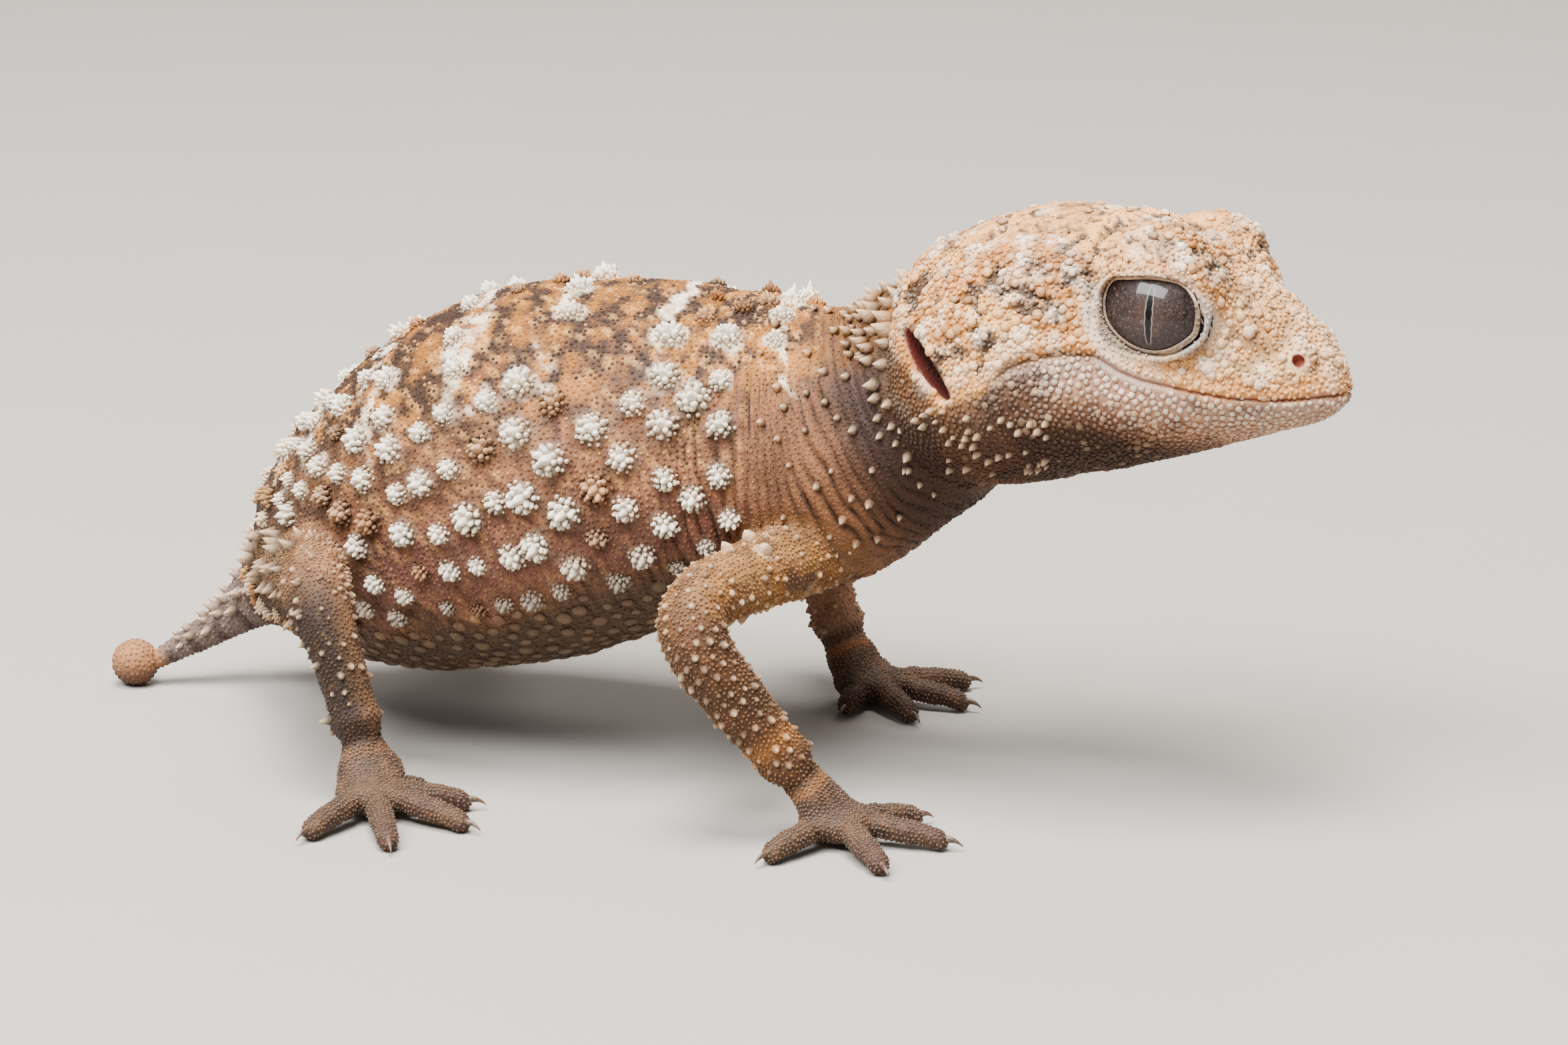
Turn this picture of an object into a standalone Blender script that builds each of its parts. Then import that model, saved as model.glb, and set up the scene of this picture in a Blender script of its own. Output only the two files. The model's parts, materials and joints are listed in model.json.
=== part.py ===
"""Northern knob-tailed gecko, life size, standing still on a flat floor.

Metres, +Z up, snout along +X, the animal's right side towards -Y. The origin lies on the floor,
under the centre of the whole model. Head, neck, torso, tail, knob, eyes and every length of each
leg are solids of their own, GAP apart where they meet.
"""
import math

import bmesh
import bpy
import numpy as np
from mathutils import Matrix, Vector

MM = 0.001

# Driving dimensions of an adult, about 110 mm from snout to vent
HEAD_HALF_WIDTH = 13.2 * MM
TRUNK_HALF_WIDTH = 17.0 * MM
TRUNK_HALF_DEPTH = 16.2 * MM
UPPER_ARM_RADIUS = 2.9 * MM
ELBOW_RADIUS = 3.0 * MM
FOREARM_RADIUS = 2.6 * MM
WRIST_RADIUS = 2.1 * MM
THIGH_RADIUS = 3.7 * MM
KNEE_RADIUS = 3.1 * MM
SHANK_RADIUS = 2.3 * MM
ANKLE_RADIUS = 1.9 * MM
DIGIT_RADIUS = 1.1 * MM
CLAW_LENGTH = 1.5 * MM
PALM_HALF_WIDTH = 3.3 * MM
PALM_HALF_HEIGHT = 1.9 * MM
KNOB_RADIUS = 2.15 * MM
EYE_RADIUS = 5.0 * MM
EYE_OPENING = (4.05 * MM, 3.1 * MM)
LID_DOME = (5.8 * MM, 4.9 * MM, 6.7 * MM)
GROOVE_DEPTH = 0.4 * MM
LIP_SWELL = 0.2 * MM
NOSTRIL_RADIUS = 0.6 * MM
EAR_SLIT = (3.6 * MM, 1.5 * MM, 0.65 * MM)
ROSETTE_RADIUS = 1.3 * MM
ROSETTE_HEIGHT = 1.5 * MM
ROSETTE_STEP = 4.2 * MM
COLLAR_SPINE = (0.6 * MM, 1.6 * MM)
JAW_SPINE = (0.45 * MM, 0.8 * MM)
TUBERCLE = (0.5 * MM, 0.8 * MM)
LEG_SPINE = (0.5 * MM, 1.8 * MM)
TAIL_SPINE = (0.5 * MM, 1.8 * MM)
SPINE_SIDES = 5
BEND_LENGTH = 7.5 * MM
INNER_LIMIT = 0.85
GAP = 0.3 * MM
FLAT_CUT = 0.12 * MM
SEED = 11

# The model's box is centred over the origin by this shift
CENTRE_SHIFT = Vector((3.9 * MM, -4.0 * MM, 0.0))

# How the head sits: its own frame has +X to the snout, +Y to the left and +Z to the crown
HEAD_PLACE = Vector((19.0 * MM, 0.0, 37.2 * MM)) + CENTRE_SHIFT
HEAD_ROLL = math.radians(-5.8)
HEAD_YAW = math.radians(-7.0)

# Body stations from the tail's tip end to the inside of the head: x, y, z of the centre in
# millimetres, then shares of the trunk's half width and half depth
BODY_STATIONS = (
    (-56.0, 6.1, 2.6, 0.059, 0.062),
    (-53.6, 6.9, 4.0, 0.077, 0.083),
    (-50.4, 7.7, 6.0, 0.100, 0.111),
    (-47.0, 8.1, 8.5, 0.182, 0.204),
    (-42.2, 7.2, 11.4, 0.424, 0.420),
    (-36.2, 5.2, 15.0, 0.694, 0.690),
    (-28.0, 2.8, 19.2, 0.930, 0.895),
    (-18.3, 1.2, 23.5, 1.000, 1.000),
    (-8.0, 0.6, 26.2, 0.960, 0.926),
    (1.0, 0.5, 27.3, 0.824, 0.827),
    (8.0, 0.3, 28.5, 0.694, 0.753),
    (13.8, 0.0, 31.0, 0.565, 0.630),
    (18.5, -0.2, 34.0, 0.530, 0.580),
    (23.0, -0.4, 35.8, 0.482, 0.494),
)
TAIL_ROOT = 3.25
NECK_ROOT = 11.0
NECK_END = 12.7
TRUNK_CUT_SPAN = (3.4, 11.6)

# Head stations from the nape to the snout, in millimetres in the head's own frame: x, crown, throat,
# share of the half width, height of the widest point, mouth line
HEAD_STATIONS = (
    (-4.8, 1.8, -3.4, 0.10, -0.8, -0.4),
    (-4.0, 5.6, -6.8, 0.44, -1.0, 0.6),
    (-1.6, 8.4, -9.9, 0.74, -1.6, 1.4),
    (2.2, 10.7, -11.1, 0.93, -2.2, 2.0),
    (7.0, 12.4, -10.5, 1.00, -2.2, 2.2),
    (12.2, 13.0, -9.3, 0.965, -1.8, 1.9),
    (17.5, 12.7, -7.9, 0.865, -1.0, 1.4),
    (23.0, 10.4, -6.1, 0.69, -0.6, -0.5),
    (28.0, 6.9, -4.5, 0.50, -0.7, -1.15),
    (31.3, 4.4, -3.5, 0.345, -0.8, -1.1),
    (33.1, 2.1, -2.4, 0.20, -0.8, -0.85),
    (33.75, 0.1, -1.3, 0.06, -0.75, -0.7),
)
HEAD_SQUARENESS = 2.25
EYE_CENTRE = (20.2, 6.1, 5.25)
LID_CENTRE = (19.8, 6.3, 6.0)
MOUTH_CORNER_X = 16.4
NOSTRIL = (31.1, 4.2, 1.8)
EAR_CENTRE = (2.2, 12.3, -0.2)
EAR_TILT = math.radians(44.0)

# Legs: root inside the trunk, bend, wrist or ankle and the middle of the palm or sole
ARMS = {
    "right": ((9.6, -4.5, 20.9), (1.7, -25.4, 19.6), (12.0, -20.0, 4.6), (14.8, -20.6, 1.8)),
    "left": ((9.6, 6.0, 21.5), (-2.5, 25.0, 20.4), (3.2, 20.4, 4.6), (6.0, 19.2, 1.8)),
}
LEGS = {
    "right": ((-40.5, 3.5, 13.6), (-31.0, -20.0, 18.6), (-25.6, -21.6, 4.4), (-24.0, -24.6, 1.8)),
    "left": ((-37.4, 8.5, 14.2), (-29.5, 27.0, 18.2), (-33.8, 28.4, 4.4), (-32.8, 31.6, 1.8)),
}

# Radii along a leg as (share of its length, half width, half height), and where its lengths part
ARM_RADII = (
    (0.0, 1.3 * UPPER_ARM_RADIUS, 1.3 * UPPER_ARM_RADIUS),
    (0.35, UPPER_ARM_RADIUS, UPPER_ARM_RADIUS),
    (0.50, ELBOW_RADIUS, ELBOW_RADIUS),
    (0.65, FOREARM_RADIUS, FOREARM_RADIUS),
    (0.87, WRIST_RADIUS, WRIST_RADIUS),
    (0.94, PALM_HALF_WIDTH, PALM_HALF_HEIGHT),
    (1.0, 0.8 * PALM_HALF_WIDTH, PALM_HALF_HEIGHT),
)
LEG_RADII = (
    (0.0, 1.35 * THIGH_RADIUS, 1.35 * THIGH_RADIUS),
    (0.35, THIGH_RADIUS, THIGH_RADIUS),
    (0.55, KNEE_RADIUS, KNEE_RADIUS),
    (0.70, SHANK_RADIUS, SHANK_RADIUS),
    (0.88, ANKLE_RADIUS, ANKLE_RADIUS),
    (0.94, PALM_HALF_WIDTH, PALM_HALF_HEIGHT),
    (1.0, 0.8 * PALM_HALF_WIDTH, PALM_HALF_HEIGHT),
)
ARM_SPLITS = (0.5, 0.88)
LEG_SPLITS = (0.56, 0.885)

# Digits from the innermost to the outermost: heading in degrees from +X, reach from the palm's middle
HAND_DIGITS = {
    "right": ((100, 7.2), (50, 9.8), (2, 10.8), (-52, 11.4), (-116, 10.0)),
    "left": ((-96, 7.2), (-46, 9.8), (-4, 10.8), (40, 11.4), (98, 10.0)),
}
FOOT_DIGITS = {
    "right": ((66, 7.8), (24, 9.6), (-16, 11.2), (-62, 12.2), (-106, 10.6)),
    "left": ((-40, 7.8), (2, 9.6), (40, 11.2), (76, 12.2), (114, 10.6)),
}

# Base colour and roughness of each part's skin
FINISHES = {
    "head": ((0.72, 0.53, 0.38), 0.55),
    "neck": ((0.36, 0.26, 0.21), 0.60),
    "torso": ((0.48, 0.27, 0.15), 0.55),
    "tail": ((0.40, 0.32, 0.30), 0.55),
    "tail_knob": ((0.45, 0.30, 0.20), 0.50),
    "upper_arm": ((0.52, 0.33, 0.16), 0.58),
    "forearm": ((0.40, 0.26, 0.16), 0.58),
    "thigh": ((0.48, 0.33, 0.24), 0.58),
    "shank": ((0.40, 0.30, 0.24), 0.58),
    "hand": ((0.44, 0.34, 0.28), 0.58),
    "foot": ((0.44, 0.34, 0.28), 0.58),
    "eye": ((0.12, 0.09, 0.08), 0.08),
}


def clear_scene():
    """Empties the scene before anything is made."""
    for obj in list(bpy.data.objects):
        bpy.data.objects.remove(obj, do_unlink=True)


def make_collection(name):
    """A collection linked to the scene."""
    collection = bpy.data.collections.new(name)
    bpy.context.scene.collection.children.link(collection)
    return collection


def unit(vectors):
    """Each row scaled to length one."""
    vectors = np.asarray(vectors, float)
    return vectors / np.linalg.norm(vectors, axis=-1, keepdims=True)


def spline(rows, at):
    """Points on the Catmull-Rom curve through the rows, with the parameter counted in rows."""
    rows = np.asarray(rows, float)
    padded = np.vstack([2 * rows[0] - rows[1], rows, 2 * rows[-1] - rows[-2]])
    at = np.atleast_1d(np.asarray(at, float))
    cell = np.clip(at.astype(int), 0, len(rows) - 2)
    f = (at - cell)[:, None]
    a, b, c, d = (padded[cell + k] for k in range(4))
    return 0.5 * (2 * b + (c - a) * f + (2 * a - 5 * b + 4 * c - d) * f**2 + (3 * b - a - 3 * c + d) * f**3)


def mesh_object(name, collection, bm):
    """An object from a bmesh, its faces turned outwards."""
    bmesh.ops.recalc_face_normals(bm, faces=bm.faces)
    mesh = bpy.data.meshes.new(name)
    bm.to_mesh(mesh)
    bm.free()
    obj = bpy.data.objects.new(name, mesh)
    collection.objects.link(obj)
    return obj


def lofted(name, collection, rings):
    """A closed loft through rings of equal counts, with a flat cap at each end."""
    sides = len(rings[0])
    bm = bmesh.new()
    verts = [[bm.verts.new(point) for point in ring] for ring in rings]
    for near, far in zip(verts, verts[1:]):
        for j in range(sides):
            k = (j + 1) % sides
            bm.faces.new((near[j], near[k], far[k], far[j]))
    bm.faces.new(verts[0][::-1])
    bm.faces.new(verts[-1])
    return mesh_object(name, collection, bm)


def ball(name, collection, matrix, radii, segments=16, rings=10):
    """A sphere, stretched to its three radii and placed."""
    bm = bmesh.new()
    bmesh.ops.create_uvsphere(bm, u_segments=segments, v_segments=rings, radius=1.0)
    bmesh.ops.transform(bm, matrix=matrix @ Matrix.Diagonal((*radii, 1.0)), verts=bm.verts)
    return mesh_object(name, collection, bm)


def add_cone(bm, root, heading, size, sides=SPINE_SIDES):
    """Adds one spine of a radius and a height to a bmesh, its base sunk below the skin."""
    radius, height = size
    heading = Vector(heading).normalized()
    sunk = 0.35 * height
    middle = Vector(root) + heading * 0.5 * (height - sunk)
    turn = heading.to_track_quat("Z", "Y").to_matrix().to_4x4()
    bmesh.ops.create_cone(
        bm, cap_ends=True, segments=sides, radius1=radius, radius2=0.0, depth=height + sunk,
        matrix=Matrix.Translation(middle) @ turn,
    )


def keep_largest(mesh):
    """Leaves only the closed surface that holds the most volume."""
    bm = bmesh.new()
    bm.from_mesh(mesh)
    seen = set()
    best, most = [], -1.0
    for start in bm.faces:
        if start in seen:
            continue
        shell, stack = [], [start]
        seen.add(start)
        while stack:
            face = stack.pop()
            shell.append(face)
            for edge in face.edges:
                for other in edge.link_faces:
                    if other not in seen:
                        seen.add(other)
                        stack.append(other)
        volume = abs(sum(fan_volume(face) for face in shell))
        if volume > most:
            best, most = shell, volume
    kept = set(best)
    bmesh.ops.delete(bm, geom=[face for face in bm.faces if face not in kept], context="FACES")
    bmesh.ops.delete(bm, geom=[vert for vert in bm.verts if not vert.link_faces], context="VERTS")
    bm.to_mesh(mesh)
    bm.free()


def fan_volume(face):
    """Signed volume between the origin and one face."""
    points = [loop.vert.co for loop in face.loops]
    fans = zip(points[1:], points[2:])
    return sum(points[0].dot(second.cross(third)) for second, third in fans) / 6.0


def combine(base, pieces, operation):
    """Applies one Boolean of a collection of closed pieces to the base, then removes the pieces."""
    tools = make_collection("tools")
    for piece in pieces:
        for owner in list(piece.users_collection):
            owner.objects.unlink(piece)
        tools.objects.link(piece)
        piece.hide_render = True
        piece.display_type = "WIRE"
    modifier = base.modifiers.new(operation.lower(), "BOOLEAN")
    modifier.operation = operation
    modifier.operand_type = "COLLECTION"
    modifier.collection = tools
    modifier.solver = "MANIFOLD"
    bpy.context.view_layer.update()
    evaluated = base.evaluated_get(bpy.context.evaluated_depsgraph_get())
    result = bpy.data.meshes.new_from_object(evaluated)
    base.modifiers.clear()
    base.data = result
    keep_largest(result)
    for piece in list(tools.objects):
        bpy.data.objects.remove(piece, do_unlink=True)
    bpy.data.collections.remove(tools)


def body_frame(at):
    """Centre, sideways vector, upward vector and half sizes of the body at its station numbers."""
    row = spline(BODY_STATIONS, at)
    ahead = unit(spline(BODY_STATIONS, at + 0.01)[:, :3] - spline(BODY_STATIONS, at - 0.01)[:, :3])
    side = unit(np.cross([0.0, 0.0, 1.0], ahead))
    up = np.cross(ahead, side)
    centre = row[:, :3] * MM + np.array(CENTRE_SHIFT)
    return centre, side, up, row[:, 3:] * (TRUNK_HALF_WIDTH, TRUNK_HALF_DEPTH)


def body_point(at, angle, swell=0.0):
    """Points of the body's skin: angle 0 is the left side, 90 degrees the back, -90 the belly."""
    at, angle = np.broadcast_arrays(np.asarray(at, float), np.asarray(angle, float))
    centre, side, up, size = body_frame(at.ravel())
    turn = angle.ravel()[:, None]
    belly_spread = 1.0 - 0.07 * np.sin(turn)
    across = side * (size[:, :1] + swell) * belly_spread * np.cos(turn)
    points = centre + across + up * (size[:, 1:] + swell) * np.sin(turn)
    return points.reshape(*at.shape, 3)


def body_loft(name, collection, first, last, rings, sides, swell=0.0):
    """The stretch of the body between two station numbers."""
    at = np.linspace(first, last, rings)[:, None]
    turn = np.linspace(0.0, 2 * math.pi, sides, endpoint=False)[None, :]
    return lofted(name, collection, body_point(at, turn, swell))


def body_spot(at, angle):
    """A point of the skin, the outward normal there and the way back towards the tail."""
    spot, behind, beside = body_point([at, at - 0.02, at], [angle, angle, angle + 0.02])
    normal = unit(np.cross(beside - spot, spot - behind))
    if np.dot(normal, spot - body_frame(np.array([at]))[0][0]) < 0:
        normal = -normal
    return spot, normal, unit(behind - spot)


def head_matrix():
    """Turns the head's own frame into its place on the model."""
    turn = Matrix.Rotation(HEAD_YAW, 4, "Z") @ Matrix.Rotation(HEAD_ROLL, 4, "X")
    return Matrix.Translation(HEAD_PLACE) @ turn


def head_sections(at, swell=0.0):
    """Place along the head, rise, fall and half width of the section, its middle and its mouth line."""
    x, crown, throat, share, middle, mouth = spline(HEAD_STATIONS, at).T
    x, crown, throat, middle, mouth = (value * MM for value in (x, crown, throat, middle, mouth))
    behind = np.clip((3.0 * MM - x) / (7.0 * MM), 0.0, 1.0)
    x = x - 1.6 * swell * behind
    return x, crown - middle + swell, middle - throat + swell, share * HEAD_HALF_WIDTH + swell, middle, mouth


def head_outline(sections, angle, shift):
    """Rounded-square sections: angle 0 is the left side, 90 degrees the crown, and shift swells them."""
    x, rise, fall, wide, middle, _ = (value[:, None] for value in sections)
    cos, sin = np.cos(angle), np.sin(angle)
    power = HEAD_SQUARENESS
    scale = (np.abs(cos) ** power + np.abs(sin) ** power) ** (-1.0 / power)
    y, z = wide * scale * cos, np.where(sin > 0, rise, fall) * scale * sin
    grow = 1.0 + shift / np.maximum(np.hypot(y, z), 0.1 * MM)
    return np.stack(np.broadcast_arrays(x, y * grow, z * grow + middle), -1)


def head_rings(rings, upper, lower, swell=0.0):
    """Head sections whose columns keep to the mouth line, with a groove along it and a lip each side."""
    sections = head_sections(np.linspace(0.0, len(HEAD_STATIONS) - 1.0, rings), swell)
    x, rise, fall, wide, middle, mouth = sections
    offset = mouth - middle
    line = np.arcsin(np.clip(offset / np.where(offset > 0, rise, fall), -0.9, 0.9))
    parted = np.clip((x - MOUTH_CORNER_X * MM) / (2.5 * MM), 0.0, 1.0)
    taper = np.clip(wide / (4.0 * MM), 0.15, 1.0)
    lip, edge = 1.3 * MM * taper, 0.35 * MM * taper
    swelling, groove = LIP_SWELL * parted, -GROOVE_DEPTH * parted * taper
    above = (line + edge / rise, swelling)
    within = (line, groove)
    below = (line - edge / fall, swelling)
    over, under = line + lip / rise, line - lip / fall
    columns = [(over + share * (math.pi - 2 * over), 0.0 * x) for share in np.linspace(0.0, 1.0, upper)]
    columns += [(math.pi - angle, shift) for angle, shift in (above, within, below)]
    reach = math.pi + 2 * under
    columns += [(math.pi - under + share * reach, 0.0 * x) for share in np.linspace(0.0, 1.0, lower)]
    columns += [(angle + 2 * math.pi, shift) for angle, shift in (below, within, above)]
    angle, shift = (np.array(values).T for values in zip(*columns))
    return head_outline(sections, angle, shift)


def in_place(points):
    """Points of the head's own frame, carried to their place on the model."""
    matrix = np.array(head_matrix())
    return np.asarray(points) @ matrix[:3, :3].T + matrix[:3, 3]


def head_loft(name, collection, rings, upper, lower, swell=0.0):
    """The bare head, closed at nape and snout."""
    return lofted(name, collection, in_place(head_rings(rings, upper, lower, swell)))


def head_spot(spot, side):
    """A place given for the left side of the head, on the side that is asked for."""
    x, y, z = (value * MM for value in spot)
    return head_matrix() @ Matrix.Translation((x, side * y, z))


def within_head(points, margin):
    """Whether points lie inside the bare head or within a margin of it."""
    matrix = np.array(head_matrix())
    local = (points - matrix[:3, 3]) @ matrix[:3, :3]
    x, rise, fall, wide, middle, _ = head_sections(np.linspace(0.0, len(HEAD_STATIONS) - 1.0, 200), margin)
    rise, fall, wide, middle = (np.interp(local[:, 0], x, value) for value in (rise, fall, wide, middle))
    height = local[:, 2] - middle
    share = np.abs(local[:, 1] / wide) ** 2 + np.abs(height / np.where(height > 0, rise, fall)) ** 2
    return (share < 1.0) & (local[:, 0] > x[0]) & (local[:, 0] < x[-1])


def rounded_path(corners, bend, step):
    """Points a step apart along straight runs whose corners are eased over the bend length."""
    corners = np.asarray(corners, float)
    points = [corners[0]]
    for before, corner, after in zip(corners, corners[1:], corners[2:]):
        start = corner + unit(before - corner) * min(bend, 0.5 * np.linalg.norm(before - corner))
        end = corner + unit(after - corner) * min(bend, 0.5 * np.linalg.norm(after - corner))
        for f in np.linspace(0.0, 1.0, 33):
            points.append((1 - f) ** 2 * start + 2 * f * (1 - f) * corner + f**2 * end)
    points.append(corners[-1])
    points = np.array(points)
    along = np.concatenate([[0.0], np.cumsum(np.linalg.norm(np.diff(points, axis=0), axis=1))])
    even = np.linspace(0.0, along[-1], int(round(along[-1] / step)) + 1)
    return np.stack([np.interp(even, along, points[:, k]) for k in range(3)], -1), even


class Limb:
    """A leg's eased path from its root to the palm, with the half sizes of its skin."""

    def __init__(self, corners, radii, splits):
        corners = np.asarray(corners, float) * MM + np.array(CENTRE_SHIFT)
        self.points, self.along = rounded_path(corners, BEND_LENGTH, 0.1 * MM)
        self.length = self.along[-1]
        marks = [share * self.length for share, _, _ in radii]
        self.wide = np.interp(self.along, marks, [wide for _, wide, _ in radii])
        self.high = np.interp(self.along, marks, [high for _, _, high in radii])
        self.splits = splits
        self.palm = corners[-1]
        self.ahead = unit(np.gradient(self.points, axis=0))
        window = np.ones(15) / 15
        steady = [np.convolve(np.pad(column, 7, "edge"), window, "valid") for column in self.ahead.T]
        self.bend = np.gradient(np.stack(steady, -1), axis=0) / (self.along[1] - self.along[0])
        self.side, self.up = self.frames()

    def frames(self):
        """Sideways and upward vectors, carried back from the level palm without twist."""
        side = np.zeros_like(self.points)
        side[-1] = unit(np.cross([0.0, 0.0, 1.0], self.ahead[-1]))
        for i in range(len(side) - 2, -1, -1):
            side[i] = unit(side[i + 1] - np.dot(side[i + 1], self.ahead[i]) * self.ahead[i])
        return side, np.cross(self.ahead, side)

    def rings(self, number, sides):
        """Sections of one length, GAP from the next and flattened inside a bend before they would cross."""
        edges = [0.0, *self.splits, 1.0]
        first = edges[number] * self.length + (GAP / 2 if number else 0.0)
        last = edges[number + 1] * self.length - (GAP / 2 if number < 2 else 0.0)
        count = max(4, int(round((last - first) / (2.0 * MM))) + 1)
        picks = np.searchsorted(self.along, np.linspace(first, last, count)).clip(0, len(self.along) - 1)
        turn = np.linspace(0.0, 2 * math.pi, sides, endpoint=False)
        cos, sin = np.cos(turn)[None, :, None], np.sin(turn)[None, :, None]
        offset = self.side[picks, None, :] * cos * self.wide[picks, None, None]
        offset += self.up[picks, None, :] * sin * self.high[picks, None, None]
        bend = self.bend[picks, None, :]
        inward = np.sum(offset * bend, axis=-1, keepdims=True)
        tightness = np.maximum(np.sum(bend * bend, axis=-1, keepdims=True), 1.0)
        offset -= bend / tightness * np.maximum(inward - INNER_LIMIT, 0.0)
        return self.points[picks, None, :] + offset

    def spot(self, share, angle):
        """A point of the skin at a share of the length, the outward normal and the way to the palm."""
        pick = int(share * (len(self.along) - 1))
        outward = self.side[pick] * math.cos(angle) + self.up[pick] * math.sin(angle)
        return self.points[pick] + outward * self.wide[pick], outward, self.ahead[pick]

    def clearance(self, point):
        """How far a point lies from the skin of the first length."""
        count = int(self.splits[0] * len(self.along))
        return np.min(np.linalg.norm(self.points[:count] - point, axis=1) - self.wide[:count])


def make_digit(collection, palm, heading, reach):
    """One finger or toe with its claw, lying on the floor from the palm's middle outwards."""
    heading = math.radians(heading)
    ahead = np.array([math.cos(heading), math.sin(heading), 0.0])
    across = np.array([-ahead[1], ahead[0], 0.0])
    shares = np.array([0.10, 0.45, 0.70, 0.93, 1.0])
    radii = np.array([1.2, 1.05, 0.95, 0.8, 0.4]) * DIGIT_RADIUS
    heights = np.array([1.9, 1.85, 1.4, 0.78, 0.7]) * MM
    points = palm * (1.0, 1.0, 0.0) + ahead * (shares * (reach * MM - CLAW_LENGTH))[:, None]
    points[:, 2] = heights
    turn = np.linspace(0.0, 2 * math.pi, 7, endpoint=False)[:, None]
    circle = across * np.cos(turn) + np.array([0.0, 0.0, 1.0]) * np.sin(turn)
    finger = lofted("digit", collection, points[:, None, :] + circle * radii[:, None, None])
    bm = bmesh.new()
    start = points[-1] - ahead * 0.4 * MM + (0.0, 0.0, 0.1 * MM)
    add_cone(bm, start, ahead + (0.0, 0.0, -0.16), (0.42 * MM, CLAW_LENGTH + 0.4 * MM))
    return [finger, mesh_object("claw", collection, bm)]


def floor_cutter(collection, middle):
    """A block below the floor that leaves a small flat wherever a hand or foot rests."""
    size = 40.0 * MM
    bm = bmesh.new()
    bmesh.ops.create_cube(bm, size=size)
    bmesh.ops.translate(bm, vec=(middle[0], middle[1], -0.5 * size), verts=bm.verts)
    return mesh_object("floor_cutter", collection, bm)


def make_limb(parts, cutters, limb, names, digits, spines, mirror):
    """The three solids of one leg, each with its spines, and the hand or foot with its digits."""
    solids = [lofted(name, parts, limb.rings(number, 10)) for number, name in enumerate(names)]
    for solid, (size, shares, angles) in zip(solids, spines):
        bm = bmesh.new()
        for number, share in enumerate(shares):
            for angle in angles:
                turn = math.radians(angle + 18 * (number % 2))
                spot, outward, ahead = limb.spot(share, math.pi - turn if mirror else turn)
                add_cone(bm, spot, outward + 0.25 * ahead, size)
        combine(solid, [mesh_object("spines", cutters, bm)], "UNION")
    trunk = body_loft("trunk_cutter", cutters, *TRUNK_CUT_SPAN, rings=34, sides=28, swell=GAP)
    combine(solids[0], [trunk], "DIFFERENCE")
    pad = (PALM_HALF_WIDTH, PALM_HALF_WIDTH, PALM_HALF_HEIGHT)
    pieces = [ball("pad", cutters, Matrix.Translation(limb.palm), pad, 14, 10)]
    for heading, reach in digits:
        pieces += make_digit(cutters, limb.palm, heading, reach)
    combine(solids[2], pieces, "UNION")
    combine(solids[2], [floor_cutter(cutters, limb.palm)], "DIFFERENCE")


def trunk_rosettes(cutters, limbs, rng):
    """Staggered rows of cones over back and flanks, slimmer and longer on the rump, none near the legs."""
    rows = []
    for side in (1, -1):
        for number, from_top in enumerate((9, 26, 43, 60, 77, 94, 111)):
            angle = math.radians(90 - side * from_top)
            at = np.linspace(TAIL_ROOT + 0.35, NECK_ROOT - 0.3, 240)
            line = body_point(at, np.full_like(at, angle))
            along = np.concatenate([[0.0], np.cumsum(np.linalg.norm(np.diff(line, axis=0), axis=1))])
            places = np.arange(0.5 + 0.5 * (number % 2), along[-1] / ROSETTE_STEP) * ROSETTE_STEP
            bm = bmesh.new()
            for here in np.interp(places, along, at):
                spot, normal, back = body_spot(here, angle + math.radians(rng.uniform(-2.0, 2.0)))
                grow = np.interp(here, [3.5, 9.0, 11.0], [1.0, 1.0, 0.66]) * rng.uniform(0.88, 1.1)
                rump = np.interp(here, [4.2, 5.8], [1.0, 0.0])
                if min(limb.clearance(spot) for limb in limbs) > 2.4 * MM:
                    size = (ROSETTE_RADIUS * grow * (1.0 - 0.5 * rump), ROSETTE_HEIGHT * grow * (1.0 + 0.3 * rump))
                    add_cone(bm, spot, normal + (0.35 + 0.65 * rump) * back, size)
            rows.append(mesh_object("rosettes", cutters, bm))
    return rows


def build_torso(parts, cutters, limbs, rng):
    """The trunk from the tail's root to the neck, with its rosettes."""
    torso = body_loft("torso", parts, TAIL_ROOT, NECK_ROOT, 24, 26)
    combine(torso, trunk_rosettes(cutters, limbs, rng), "UNION")


def build_tail(parts, cutters, rng):
    """The tail with rows of spines above, and the knob at its end, resting on the floor."""
    gap_share = GAP / (4.0 * MM)
    tail = body_loft("tail", parts, 0.0, TAIL_ROOT - gap_share, 12, 12)
    bm = bmesh.new()
    for at in np.linspace(0.6, TAIL_ROOT - 0.4, 6):
        for degrees in (35, 72, 108, 145):
            spot, normal, back = body_spot(at, math.radians(degrees + rng.uniform(-6.0, 6.0)))
            grow = np.interp(at, [0.5, 2.0], [0.6, 1.0])
            add_cone(bm, spot, normal + 0.5 * back, (grow * TAIL_SPINE[0], grow * TAIL_SPINE[1]))
    combine(tail, [mesh_object("tail_spines", cutters, bm)], "UNION")
    end, before = body_frame(np.array([0.0, 0.1]))[0]
    away = unit((end - before) * (1.0, 1.0, 0.0))
    middle = Vector(end + away * (KNOB_RADIUS + GAP))
    middle.z = KNOB_RADIUS - FLAT_CUT
    knob = ball("tail_knob", parts, Matrix.Translation(middle), (KNOB_RADIUS,) * 3, 14, 10)
    combine(knob, [floor_cutter(cutters, middle)], "DIFFERENCE")


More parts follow.
